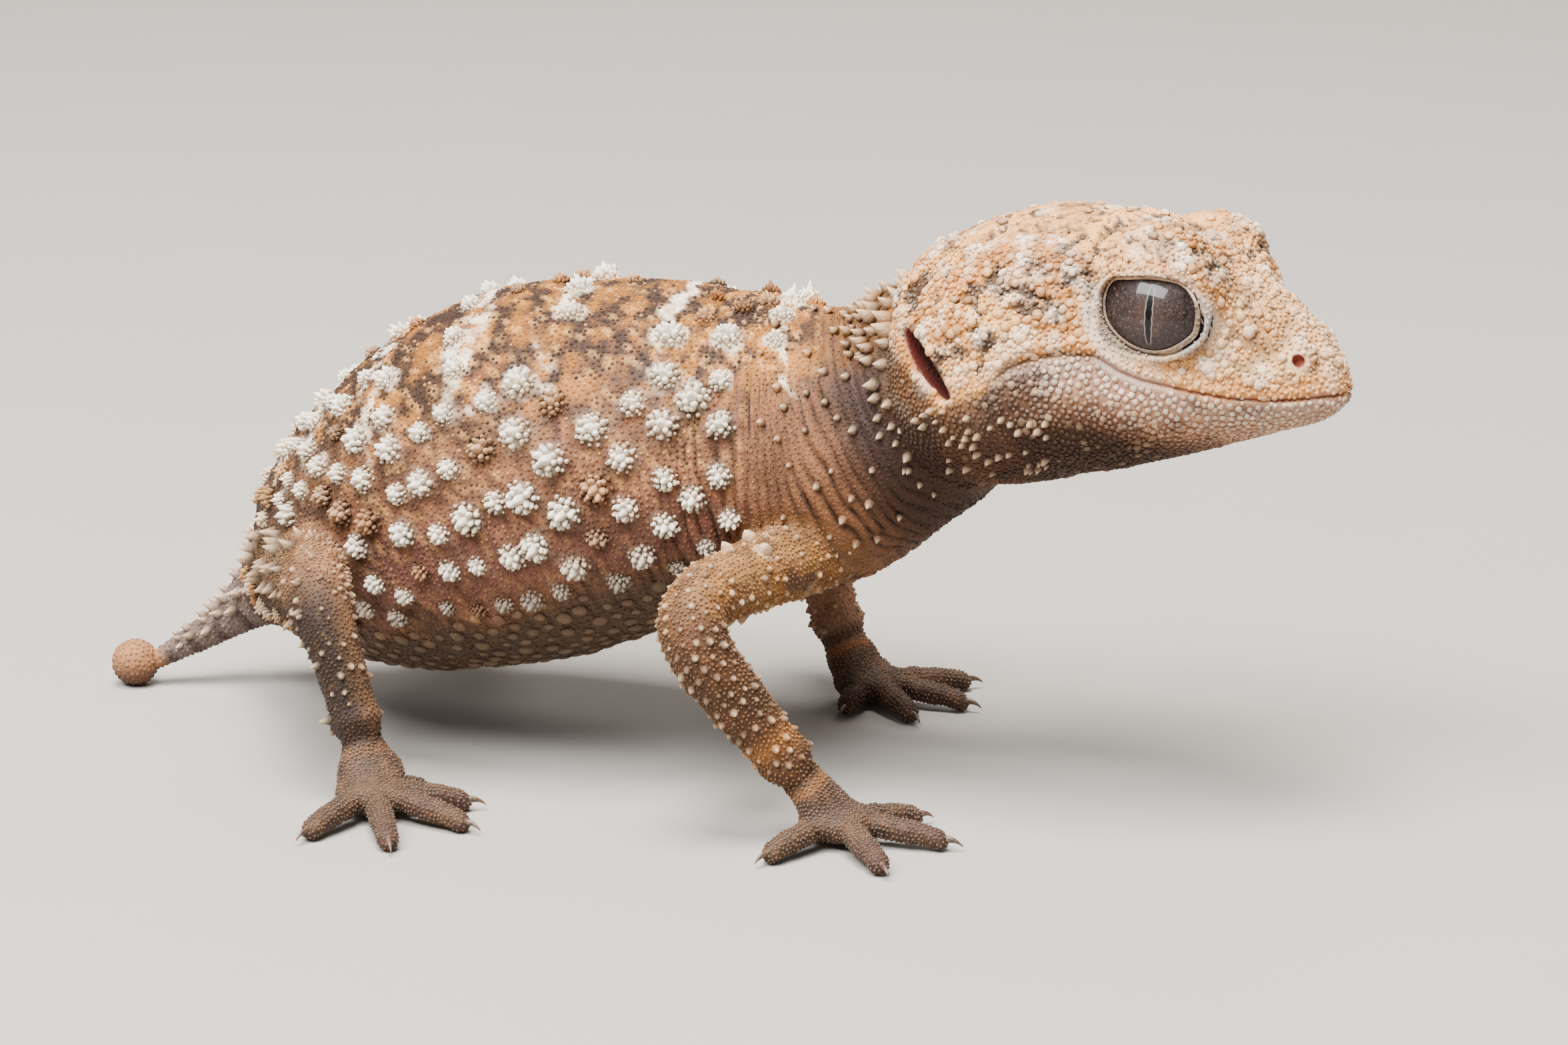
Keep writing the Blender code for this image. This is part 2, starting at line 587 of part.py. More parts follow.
def build_neck(parts, cutters):
    """The neck between trunk and head, with a collar of spines over the nape behind the head."""
    neck = body_loft("neck", parts, NECK_ROOT + GAP / (6.4 * MM), NECK_END, 9, 26)
    combine(neck, [head_loft("head_cutter", cutters, 26, 13, 9, GAP)], "DIFFERENCE")
    bm = bmesh.new()
    at = np.linspace(NECK_ROOT, NECK_END, 200)
    for number, degrees in enumerate(range(6, 180, 12)):
        angle = math.radians(degrees)
        covered = within_head(body_point(at, np.full_like(at, angle)), 1.0 * MM)
        edge = at[np.argmax(covered)] if covered.any() else NECK_END
        here = edge - (0.16 if number % 2 else 0.5)
        if here > NECK_ROOT + 0.2:
            spot, normal, back = body_spot(here, angle)
            add_cone(bm, spot, normal + 0.6 * back, COLLAR_SPINE)
    combine(neck, [mesh_object("collar", cutters, bm)], "UNION")


def build_head(parts, cutters):
    """The head with lids, mouth line, lips, nostrils, ear slits and the spines under its jaw."""
    head = head_loft("head", parts, 27, 13, 8)
    pieces = [ball("lid", cutters, head_spot(LID_CENTRE, side), LID_DOME, 18, 12) for side in (1, -1)]
    bm = bmesh.new()
    turn = np.array(head_matrix())[:3, :3]
    for side in (1, -1):
        for number, at in enumerate(np.linspace(3.0, 5.2, 6)):
            angle = math.radians(-34 if number % 2 else -56)
            section = head_sections(np.array([at]))
            spot = head_outline(section, np.array([[angle]]), 0.0)[0, 0]
            outward = np.array([-0.3, math.cos(angle), math.sin(angle)])
            add_cone(bm, in_place(spot * (1, side, 1)), turn @ (outward * (1, side, 1)), JAW_SPINE)
    combine(head, [*pieces, mesh_object("jaw_spines", cutters, bm)], "UNION")
    holes = []
    for side in (1, -1):
        holes.append(ball("socket", cutters, head_spot(EYE_CENTRE, side), (EYE_RADIUS + GAP,) * 3, 18, 12))
        holes.append(ball("nostril", cutters, head_spot(NOSTRIL, side), (NOSTRIL_RADIUS,) * 3, 8, 6))
        tilt = Matrix.Rotation(EAR_TILT, 4, "Y")
        holes.append(ball("ear", cutters, head_spot(EAR_CENTRE, side) @ tilt, EAR_SLIT, 12, 8))
        x, y, z = EYE_CENTRE
        outside = head_spot((x, y + 4.0, z), side)
        stretch = Matrix.Diagonal((EYE_OPENING[0], 6.0 * MM, EYE_OPENING[1], 1.0))
        bm = bmesh.new()
        bmesh.ops.create_cone(
            bm, cap_ends=True, segments=20, radius1=1.0, radius2=1.0, depth=1.0,
            matrix=outside @ stretch @ Matrix.Rotation(math.pi / 2, 4, "X"),
        )
        holes.append(mesh_object("opening", cutters, bm))
    combine(head, holes, "DIFFERENCE")
    for side, name in ((1, "eye_left"), (-1, "eye_right")):
        ball(name, parts, head_spot(EYE_CENTRE, side), (EYE_RADIUS,) * 3, 16, 10)


def build_limbs(parts, cutters, arms, legs):
    """Both arms and both legs, with tubercles on the arms and spines on the legs."""
    arm_spines = (
        (TUBERCLE, (0.26, 0.33, 0.40), (50, 110, 170)),
        (TUBERCLE, (0.58, 0.65, 0.72, 0.79), (70, 140, 200)),
        (TUBERCLE, (), ()),
    )
    leg_spines = (
        (LEG_SPINE, (0.36, 0.42, 0.48), (95, 140, 185)),
        (LEG_SPINE, (0.63, 0.70, 0.77), (150, 195)),
        (LEG_SPINE, (), ()),
    )
    for side in ("right", "left"):
        mirror = side == "left"
        names = [f"{part}_{side}" for part in ("upper_arm", "forearm", "hand")]
        make_limb(parts, cutters, arms[side], names, HAND_DIGITS[side], arm_spines, mirror)
        names = [f"{part}_{side}" for part in ("thigh", "shank", "foot")]
        make_limb(parts, cutters, legs[side], names, FOOT_DIGITS[side], leg_spines, mirror)


def dress(parts):
    """Gives each solid its own finish and smooth shading."""
    for obj in parts.objects:
        kind = obj.name.removesuffix("_left").removesuffix("_right")
        colour, roughness = FINISHES[kind]
        material = bpy.data.materials.new(f"{obj.name}_skin")
        material.use_nodes = True
        shader = material.node_tree.nodes["Principled BSDF"]
        shader.inputs["Base Color"].default_value = (*colour, 1.0)
        shader.inputs["Roughness"].default_value = roughness
        shader.inputs["Metallic"].default_value = 0.0
        obj.data.materials.clear()
        obj.data.materials.append(material)
        obj.data.shade_smooth()
        obj.data.set_sharp_from_angle(angle=math.radians(40.0))


def main():
    clear_scene()
    parts = make_collection("northern_knob_tailed_gecko")
    cutters = make_collection("cutters")
    rng = np.random.default_rng(SEED)
    arms = {side: Limb(corners, ARM_RADII, ARM_SPLITS) for side, corners in ARMS.items()}
    legs = {side: Limb(corners, LEG_RADII, LEG_SPLITS) for side, corners in LEGS.items()}
    build_torso(parts, cutters, [*arms.values(), *legs.values()], rng)
    build_tail(parts, cutters, rng)
    build_neck(parts, cutters)
    build_head(parts, cutters)
    build_limbs(parts, cutters, arms, legs)
    dress(parts)


main()
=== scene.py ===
"""Northern knob-tailed gecko, life size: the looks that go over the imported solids.

One skin covers head, neck, trunk, tail, legs and digits. Beads, granules, rosettes and spines are
closed meshes of their own that stand on it, and eyes and claws are separate. Lengths in this file
are millimetres in the model's frame, snout along +X and the left side along +Y, and turn to metres
where a mesh is made.
"""

import itertools
import json
import logging
import math
from dataclasses import dataclass, field
from enum import Enum
from typing import Dict, List, Optional, Sequence, Tuple

import bpy
import numpy as np
from mathutils import Matrix, Vector

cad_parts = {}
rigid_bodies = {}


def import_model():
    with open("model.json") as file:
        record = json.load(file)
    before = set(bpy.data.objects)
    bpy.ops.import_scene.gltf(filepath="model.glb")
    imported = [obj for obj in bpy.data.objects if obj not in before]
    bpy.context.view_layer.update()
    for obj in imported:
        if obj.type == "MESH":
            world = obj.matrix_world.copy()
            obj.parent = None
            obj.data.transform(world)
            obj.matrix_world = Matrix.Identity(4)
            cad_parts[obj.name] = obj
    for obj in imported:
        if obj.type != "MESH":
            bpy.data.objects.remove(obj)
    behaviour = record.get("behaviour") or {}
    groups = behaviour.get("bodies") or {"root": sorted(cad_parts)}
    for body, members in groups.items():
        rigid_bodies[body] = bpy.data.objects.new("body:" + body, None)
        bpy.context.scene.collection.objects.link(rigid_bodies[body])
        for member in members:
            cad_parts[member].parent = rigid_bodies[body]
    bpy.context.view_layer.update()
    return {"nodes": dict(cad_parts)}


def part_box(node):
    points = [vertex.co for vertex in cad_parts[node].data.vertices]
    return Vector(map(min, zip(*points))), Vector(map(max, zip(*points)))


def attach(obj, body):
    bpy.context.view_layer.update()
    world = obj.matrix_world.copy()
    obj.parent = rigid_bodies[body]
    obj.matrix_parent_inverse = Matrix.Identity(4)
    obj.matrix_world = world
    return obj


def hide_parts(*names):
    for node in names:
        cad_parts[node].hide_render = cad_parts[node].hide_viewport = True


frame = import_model()

LOG = logging.getLogger("gecko")
MM = 0.001
CHART_UNIT = 0.1
TURN = 2.0 * math.pi
SHIFT = np.array([3.9, -4.0, 0.0])
SEED = 23
EYE_NODES = {1: "eye_left", -1: "eye_right"}
Array = np.ndarray

# Body stations from the tail's tip to the inside of the head: x, y, z of the centre, then the
# shares of the trunk's half width and half depth
BODY_STATIONS = (
    (-56.0, 6.1, 2.6, 0.059, 0.062),
    (-53.6, 6.9, 4.0, 0.077, 0.083),
    (-50.4, 7.7, 6.0, 0.100, 0.111),
    (-47.0, 8.1, 8.5, 0.182, 0.204),
    (-42.2, 7.2, 11.4, 0.424, 0.420),
    (-36.2, 5.2, 15.0, 0.694, 0.690),
    (-28.0, 2.8, 19.2, 0.930, 0.895),
    (-18.3, 1.2, 23.5, 1.000, 1.000),
    (-8.0, 0.6, 26.2, 0.960, 0.926),
    (1.0, 0.5, 27.3, 0.824, 0.827),
    (8.0, 0.3, 28.5, 0.694, 0.753),
    (13.8, 0.0, 31.0, 0.565, 0.630),
    (18.5, -0.2, 34.0, 0.530, 0.580),
    (23.0, -0.4, 35.8, 0.482, 0.494),
)
LAST_STATION = len(BODY_STATIONS) - 1.0

# Head stations from nape to snout in the head's own frame: x, crown, throat, share of the half
# width and height of the widest point
HEAD_STATIONS = (
    (-4.8, 1.8, -3.4, 0.10, -0.8),
    (-4.0, 5.6, -6.8, 0.44, -1.0),
    (-1.6, 8.4, -9.9, 0.74, -1.6),
    (2.2, 10.7, -11.1, 0.93, -2.2),
    (7.0, 12.4, -10.5, 1.00, -2.2),
    (12.2, 13.0, -9.3, 0.965, -1.8),
    (17.5, 12.7, -7.9, 0.865, -1.0),
    (23.0, 10.4, -6.1, 0.69, -0.6),
    (28.0, 6.9, -4.5, 0.50, -0.7),
    (31.3, 4.4, -3.5, 0.345, -0.8),
    (33.1, 2.1, -2.4, 0.20, -0.8),
    (33.75, 0.1, -1.3, 0.06, -0.75),
)

# Mouth line, and the fold that carries on from it behind the corner: x and z in the head's frame
MOUTH_LINE = (
    (7.6, -2.4), (8.2, -1.0), (9.5, 0.4), (11.1, 1.2), (13.6, 1.9), (16.4, 1.9), (18.4, 0.75),
    (20.0, 0.15), (23.6, -0.6), (27.0, -1.1), (30.1, -1.1), (32.5, -0.85), (33.75, -0.7),
)
MOUTH_CORNER_X = 16.4

# Edge of the eye's opening about the eye's centre, forwards and upwards
EYE_EDGE = (
    (4.18, 0.16), (3.95, 1.35), (3.26, 2.5), (2.2, 3.16), (0.53, 3.36), (-1.45, 3.2),
    (-3.35, 2.85), (-4.2, 1.8), (-4.2, 0.5), (-3.73, -0.7), (-2.65, -1.75), (-1.16, -2.6),
    (0.4, -2.98), (1.87, -2.82), (3.1, -2.15), (3.97, -1.2),
)

# Legs: root inside the trunk, bend, wrist or ankle and the middle of the palm or sole
ARMS = {
    "right": ((9.6, -4.5, 20.9), (1.7, -25.4, 19.6), (12.0, -20.0, 4.6), (14.8, -20.6, 1.8)),
    "left": ((9.6, 6.0, 21.5), (-2.5, 25.0, 20.4), (3.2, 20.4, 4.6), (6.0, 19.2, 1.8)),
}
LEGS = {
    "right": ((-40.5, 3.5, 13.6), (-31.0, -20.0, 18.6), (-25.6, -21.6, 4.4), (-24.0, -24.6, 1.8)),
    "left": ((-37.4, 8.5, 14.2), (-29.5, 27.0, 18.2), (-33.8, 28.4, 4.4), (-32.8, 31.6, 1.8)),
}

# Half width and half height along a leg, by share of its length
ARM_RADII = (
    (0.0, 3.77, 3.77), (0.35, 2.9, 2.9), (0.50, 3.0, 3.0), (0.65, 2.6, 2.6),
    (0.87, 2.1, 2.1), (0.94, 3.3, 1.9), (1.0, 2.64, 1.9),
)
LEG_RADII = (
    (0.0, 5.0, 5.0), (0.35, 3.7, 3.7), (0.55, 3.1, 3.1), (0.70, 2.3, 2.3),
    (0.88, 1.9, 1.9), (0.94, 3.3, 1.9), (1.0, 2.64, 1.9),
)

# Digits from the innermost to the outermost: heading in degrees from +X and reach from the middle
# of the palm or sole
HAND_DIGITS = {
    "right": ((100, 7.2), (50, 9.8), (2, 10.8), (-52, 11.4), (-116, 10.0)),
    "left": ((-96, 7.2), (-46, 9.8), (-4, 10.8), (40, 11.4), (98, 10.0)),
}
FOOT_DIGITS = {
    "right": ((66, 7.8), (24, 9.6), (-16, 11.2), (-62, 12.2), (-106, 10.6)),
    "left": ((-40, 7.8), (2, 9.6), (40, 11.2), (76, 12.2), (114, 10.6)),
}


def linear_rgb(value: str) -> Array:
    """A screen colour as three linear shares of light."""
    screen = np.array([int(value[k : k + 2], 16) / 255.0 for k in (1, 3, 5)])
    return np.where(screen <= 0.04045, screen / 12.92, ((screen + 0.055) / 1.055) ** 2.4)


class Tone(Enum):
    """Colours of the animal, as they should look in the finished picture, some darkened with painted shade."""

    WHITE = "#fbf5ea"
    PEARL = "#f0dcc4"
    CREAM = "#efcb98"
    TAN = "#e0b27a"
    PINK_TAN = "#c9a084"
    CROWN = "#f0ca9a"
    OCHRE = "#c2913f"
    ORANGE = "#a87a3a"
    BROWN = "#734b30"
    DARK = "#372113"
    # Dark lines of the head's crackle, and painted shade in creases and at the lids' inner edge.
    CRACK = "#3d2415"
    PURPLE = "#553830"
    FLANK = "#bd9070"
    ROSE = "#a3746a"
    # Belly, throat and neck are darker than the skin's own colour: painted shade under the body and the head.
    BELLY = "#6c543e"
    THROAT = "#4b2c15"
    NECK = "#422b1f"
    SHOULDER = "#ad8261"
    RUMP = "#3e291b"
    TAIL = "#8a756c"
    TAIL_BAND = "#503c34"
    KNOB = "#c39d7a"
    KNOB_SHADE = "#7a5640"
    ARM = "#b08c60"
    FOREARM = "#5a3b27"
    HAND = "#4c392b"
    THIGH = "#9c7656"
    SHANK = "#34271d"
    BLUE_WHITE = "#c9cdcd"
    LIP = "#d8cbc2"
    MOUTH = "#c08d80"
    NOSTRIL = "#b0322a"
    EAR = "#6a2414"
    EAR_DEEP = "#300d08"

    @property
    def rgb(self) -> Array:
        """The colour as linear shares, deepened because bright colours come out paler in the picture.

        Each channel's share of the strongest one is raised to a power that grows with brightness,
        and all but the whites are darkened, so that the strong light leaves only those near white.
        """
        linear = linear_rgb(self.value)
        top = linear.max()
        depth = 0.55 + 0.4 * ramp(top, 0.62, 0.93)
        return depth * top * (linear / top) ** (1.05 + 0.85 * ramp(top, 0.12, 0.75))


def unit(vectors: Array) -> Array:
    """Each row scaled to length one."""
    length = np.linalg.norm(vectors, axis=-1, keepdims=True)
    return vectors / np.maximum(length, 1e-12)


def ramp(value: Array, low: float, high: float) -> Array:
    """An S-shaped step: 0 up to low, 1 from high, and 3t^2 - 2t^3 between them."""
    share = np.clip((np.asarray(value, float) - low) / (high - low), 0.0, 1.0)
    return share * share * (3.0 - 2.0 * share)


def hump(value: Array, middle: float, reach: float) -> Array:
    """A bell, 1 at the middle and falling as exp(-t^2), where t counts reaches."""
    return np.exp(-(((value - middle) / reach) ** 2))


def mix(first: Array, second: Array, share: Array) -> Array:
    """Colours between the first and the second by a share per row."""
    share = np.clip(np.asarray(share, float), 0.0, 1.0)[..., None]
    return first * (1.0 - share) + second * share


def spline(rows: Sequence, at: Array) -> Array:
    """Rows on the Catmull-Rom curve through the given rows.

    Args:
        rows: one row of numbers per knot.
        at: places counted in rows.

    Returns:
        One row per place: a cubic whose slope at each knot is half the step between its neighbours.
    """
    rows = np.asarray(rows, float)
    padded = np.vstack([2 * rows[0] - rows[1], rows, 2 * rows[-1] - rows[-2]])
    cell = np.clip(at.astype(int), 0, len(rows) - 2)
    f = (at - cell)[:, None]
    a, b, c, d = (padded[cell + k] for k in range(4))
    return 0.5 * (2 * b + (c - a) * f + (2 * a - 5 * b + 4 * c - d) * f**2 + (3 * b - a - 3 * c + d) * f**3)


def closed_spline(knots: Sequence, count: int) -> Array:
    """A closed Catmull-Rom curve through the knots, as evenly parted rows."""
    knots = np.asarray(knots, float)
    wrapped = np.vstack([knots[-1], knots, knots[:2]])
    at = 1.0 + np.arange(count) * len(knots) / count
    return spline(wrapped, at)


def hashed(cells: Array, seed: int) -> Array:
    """A repeatable number from 0 to 1 for each whole-number cell.

    The three coordinates are weighted by large primes, summed, and their bits are folded twice.
    """
    mixed = cells.astype(np.int64) @ np.array([73856093, 19349663, 83492791]) + seed * 668265263
    mixed = (mixed ^ (mixed >> 13)) * 1274126177
    mixed = (mixed ^ (mixed >> 15)) * 2246822519
    return ((mixed ^ (mixed >> 17)) & 0xFFFFF) / 0xFFFFF


def noise(points: Array, size: float, seed: int, octaves: int = 2) -> Array:
    """Smooth noise from about -1 to 1.

    Args:
        points: rows of x, y, z.
        size: side of the coarsest cell.
        seed: picks the pattern.
        octaves: layers, each half as coarse and half as strong as the last.

    Returns:
        The blend of the eight corners' random values, with S-shaped weights, summed over layers.
    """
    total = np.zeros(len(points))
    for octave in range(octaves):
        place = points * (2.0**octave / size)
        cell = np.floor(place)
        f = place - cell
        f = f * f * (3.0 - 2.0 * f)
        for corner in itertools.product((0, 1), repeat=3):
            weight = np.prod(np.where(corner, f, 1.0 - f), axis=1)
            total += 0.5**octave * weight * (2.0 * hashed(cell + corner, seed + octave) - 1.0)
    return total * 1.6 / (2.0 - 0.5 ** (octaves - 1))


def scales(points: Array, size: float, seed: int) -> Tuple[Array, Array, Array]:
    """Irregular cells, one random centre in each cube of the given side.

    Args:
        points: rows of x, y, z.
        size: side of a cube.
        seed: picks the pattern.

    Returns:
        Distance to the border, as the second nearest centre's distance less the nearest's, a random
        share for the nearest centre, and the distance to that centre.
    """
    place = points / size
    base = np.floor(place)
    near = np.full(len(points), 9.0)
    second = near.copy()
    share = np.zeros(len(points))
    for step in itertools.product((-1, 0, 1), repeat=3):
        cell = base + step
        centre = cell + np.stack([hashed(cell, seed + k) for k in range(3)], -1)
        distance = np.linalg.norm(centre - place, axis=1)
        closer = distance < near
        second = np.where(closer, near, np.minimum(second, distance))
        share = np.where(closer, hashed(cell, seed + 7), share)
        near = np.minimum(near, distance)
    return (second - near) * size, share, near * size


def veins(points: Array, size: float, seed: int) -> Array:
    """Thin wandering lines: 1 where a smooth noise crosses zero, and less away from it."""
    return np.exp(-((noise(points, size, seed, 3) / 0.07) ** 2))


def nearest(points: Array, marks: Array, chunk: int = 4000) -> Tuple[Array, Array]:
    """Distance from each point to the closest mark, and which mark that is."""
    found = []
    for start in range(0, len(points), chunk):
        block = points[start : start + chunk]
        square = (block**2).sum(1)[:, None] + (marks**2).sum(1)[None, :] - 2.0 * block @ marks.T
        pick = square.argmin(1)
        found.append((np.sqrt(np.maximum(square[np.arange(len(block)), pick], 0.0)), pick))
    return np.concatenate([d for d, _ in found]), np.concatenate([k for _, k in found])


def grid_normals(grid: Array) -> Array:
    """Outward unit normals of a tube's grid: the cross product of the steps round and along."""
    around = np.roll(grid, -1, axis=1) - np.roll(grid, 1, axis=1)
    along = np.gradient(grid, axis=0)
    return unit(np.cross(around, along))


def make_mesh(name: str, points: Array, triangles: Array) -> bpy.types.Mesh:
    """A mesh in metres from points in millimetres and rows of three corners."""
    mesh = bpy.data.meshes.new(name)
    mesh.vertices.add(len(points))
    mesh.vertices.foreach_set("co", (points * MM).astype(np.float32).ravel())
    mesh.loops.add(3 * len(triangles))
    mesh.loops.foreach_set("vertex_index", triangles.astype(np.int32).ravel())
    mesh.polygons.add(len(triangles))
    mesh.polygons.foreach_set("loop_start", np.arange(0, 3 * len(triangles), 3, dtype=np.int32))
    mesh.update(calc_edges=True)
    mesh.shade_smooth()
    return mesh


def make_object(mesh: bpy.types.Mesh) -> bpy.types.Object:
    """An object at the origin that holds the mesh."""
    obj = bpy.data.objects.new(mesh.name, mesh)
    bpy.context.scene.collection.objects.link(obj)
    return obj


def tube_mesh(name: str, grid: Array, ring_closed: bool = False) -> bpy.types.Object:
    """A closed surface from a grid of rings and columns.

    Args:
        name: the object's name.
        grid: rings x columns x 3, the columns running round the tube.
        ring_closed: joins the last ring to the first, as in a hoop. Otherwise a fan of triangles
            round each end ring's middle closes the ends.

    Returns:
        The object, with its faces turned outwards.
    """
    rings, columns = grid.shape[:2]
    index = np.arange(rings * columns).reshape(rings, columns)
    near = index if ring_closed else index[:-1]
    far = np.roll(index, -1, axis=0) if ring_closed else index[1:]
    a, b = near, np.roll(near, -1, axis=1)
    c, d = np.roll(far, -1, axis=1), far
    faces = [np.stack([a, b, c], -1).reshape(-1, 3), np.stack([a, c, d], -1).reshape(-1, 3)]
    points = grid.reshape(-1, 3)
    if not ring_closed:
        start, end = rings * columns, rings * columns + 1
        points = np.vstack([points, grid[0].mean(0), grid[-1].mean(0)])
        first, last = index[0], index[-1]
        faces.append(np.stack([np.roll(first, -1), first, np.full(columns, start)], -1))
        faces.append(np.stack([last, np.roll(last, -1), np.full(columns, end)], -1))
    triangles = np.vstack(faces)
    corners = points[triangles]
    volume = np.einsum("ij,ij->", corners[:, 0], np.cross(corners[:, 1], corners[:, 2]))
    return make_object(make_mesh(name, points, triangles if volume > 0 else triangles[:, ::-1]))


def ball_grid(
    centre: Array, radii: Array, turn: Optional[Array] = None, rings: int = 24, columns: int = 36
) -> Array:
    """A stretched sphere as rings round its own x axis, turned by a 3 x 3 matrix and moved."""
    polar = np.linspace(0.03, math.pi - 0.03, rings)[:, None]
    around = np.linspace(0.0, TURN, columns, endpoint=False)[None, :]
    axes = np.cos(polar), np.sin(polar) * np.cos(around), np.sin(polar) * np.sin(around)
    grid = np.stack(np.broadcast_arrays(*axes), -1) * radii
    return (grid if turn is None else grid @ turn.T) + centre


def combine(base: bpy.types.Object, pieces: Sequence[bpy.types.Object], operation: str) -> None:
    """Applies one Boolean of closed pieces to the base, then removes the pieces."""
    tools = bpy.data.collections.new("tools")
    bpy.context.scene.collection.children.link(tools)
    for piece in pieces:
        bpy.context.scene.collection.objects.unlink(piece)
        tools.objects.link(piece)
    modifier = base.modifiers.new("boolean", "BOOLEAN")
    modifier.operation = operation
    modifier.operand_type = "COLLECTION"
    modifier.collection = tools
    modifier.solver = "MANIFOLD"
    bpy.context.view_layer.update()
    result = bpy.data.meshes.new_from_object(base.evaluated_get(bpy.context.evaluated_depsgraph_get()))
    base.modifiers.clear()
    base.data = result
    for piece in list(tools.objects):
        bpy.data.objects.remove(piece, do_unlink=True)
    bpy.data.collections.remove(tools)


def mesh_arrays(mesh: bpy.types.Mesh) -> Tuple[Array, Array, Array]:
    """Points in millimetres, vertex normals and edges of a mesh."""
    points = np.empty(3 * len(mesh.vertices), np.float32)
    mesh.vertices.foreach_get("co", points)
    normals = np.empty(3 * len(mesh.vertices), np.float32)
    mesh.vertices.foreach_get("normal", normals)
    edges = np.empty(2 * len(mesh.edges), np.int32)
    mesh.edges.foreach_get("vertices", edges)
    return points.reshape(-1, 3) / MM, normals.reshape(-1, 3).astype(float), edges.reshape(-1, 2)


def relax(points: Array, edges: Array, mask: Array, rounds: int) -> Array:
    """Draws masked points towards the mean of their neighbours, half way in each round."""
    count = np.bincount(edges.ravel(), minlength=len(points))[:, None]
    for _ in range(rounds):
        total = np.zeros_like(points)
        for k in range(3):
            total[:, k] = np.bincount(edges[:, 0], points[edges[:, 1], k], len(points))
            total[:, k] += np.bincount(edges[:, 1], points[edges[:, 0], k], len(points))
        points = points + 0.5 * mask[:, None] * (total / np.maximum(count, 1) - points)
    return points


def store(mesh: bpy.types.Mesh, name: str, kind: str, key: str, values: Array) -> None:
    """Writes one value per vertex to a named attribute."""
    layer = mesh.attributes.new(name, kind, "POINT")
    layer.data.foreach_set(key, np.asarray(values, np.float32).ravel())


def fold_over(local: Array) -> Array:
    """Points of the head's own frame with the right side laid on the left."""
    return np.stack([local[:, 0], np.abs(local[:, 1]), local[:, 2]], -1)


def smoothed(values: Array, reach: int = 10) -> Array:
    """The running mean over each value and its neighbours up to a reach, with the ends held."""
    window = 2 * reach + 1
    return np.convolve(np.pad(values, reach, "edge"), np.ones(window) / window, "valid")


def with_alpha(colours: Array) -> Array:
    """Linear colours with a fourth channel of one."""
    return np.concatenate([np.clip(colours, 0.0, 1.0), np.ones((len(colours), 1))], axis=1)


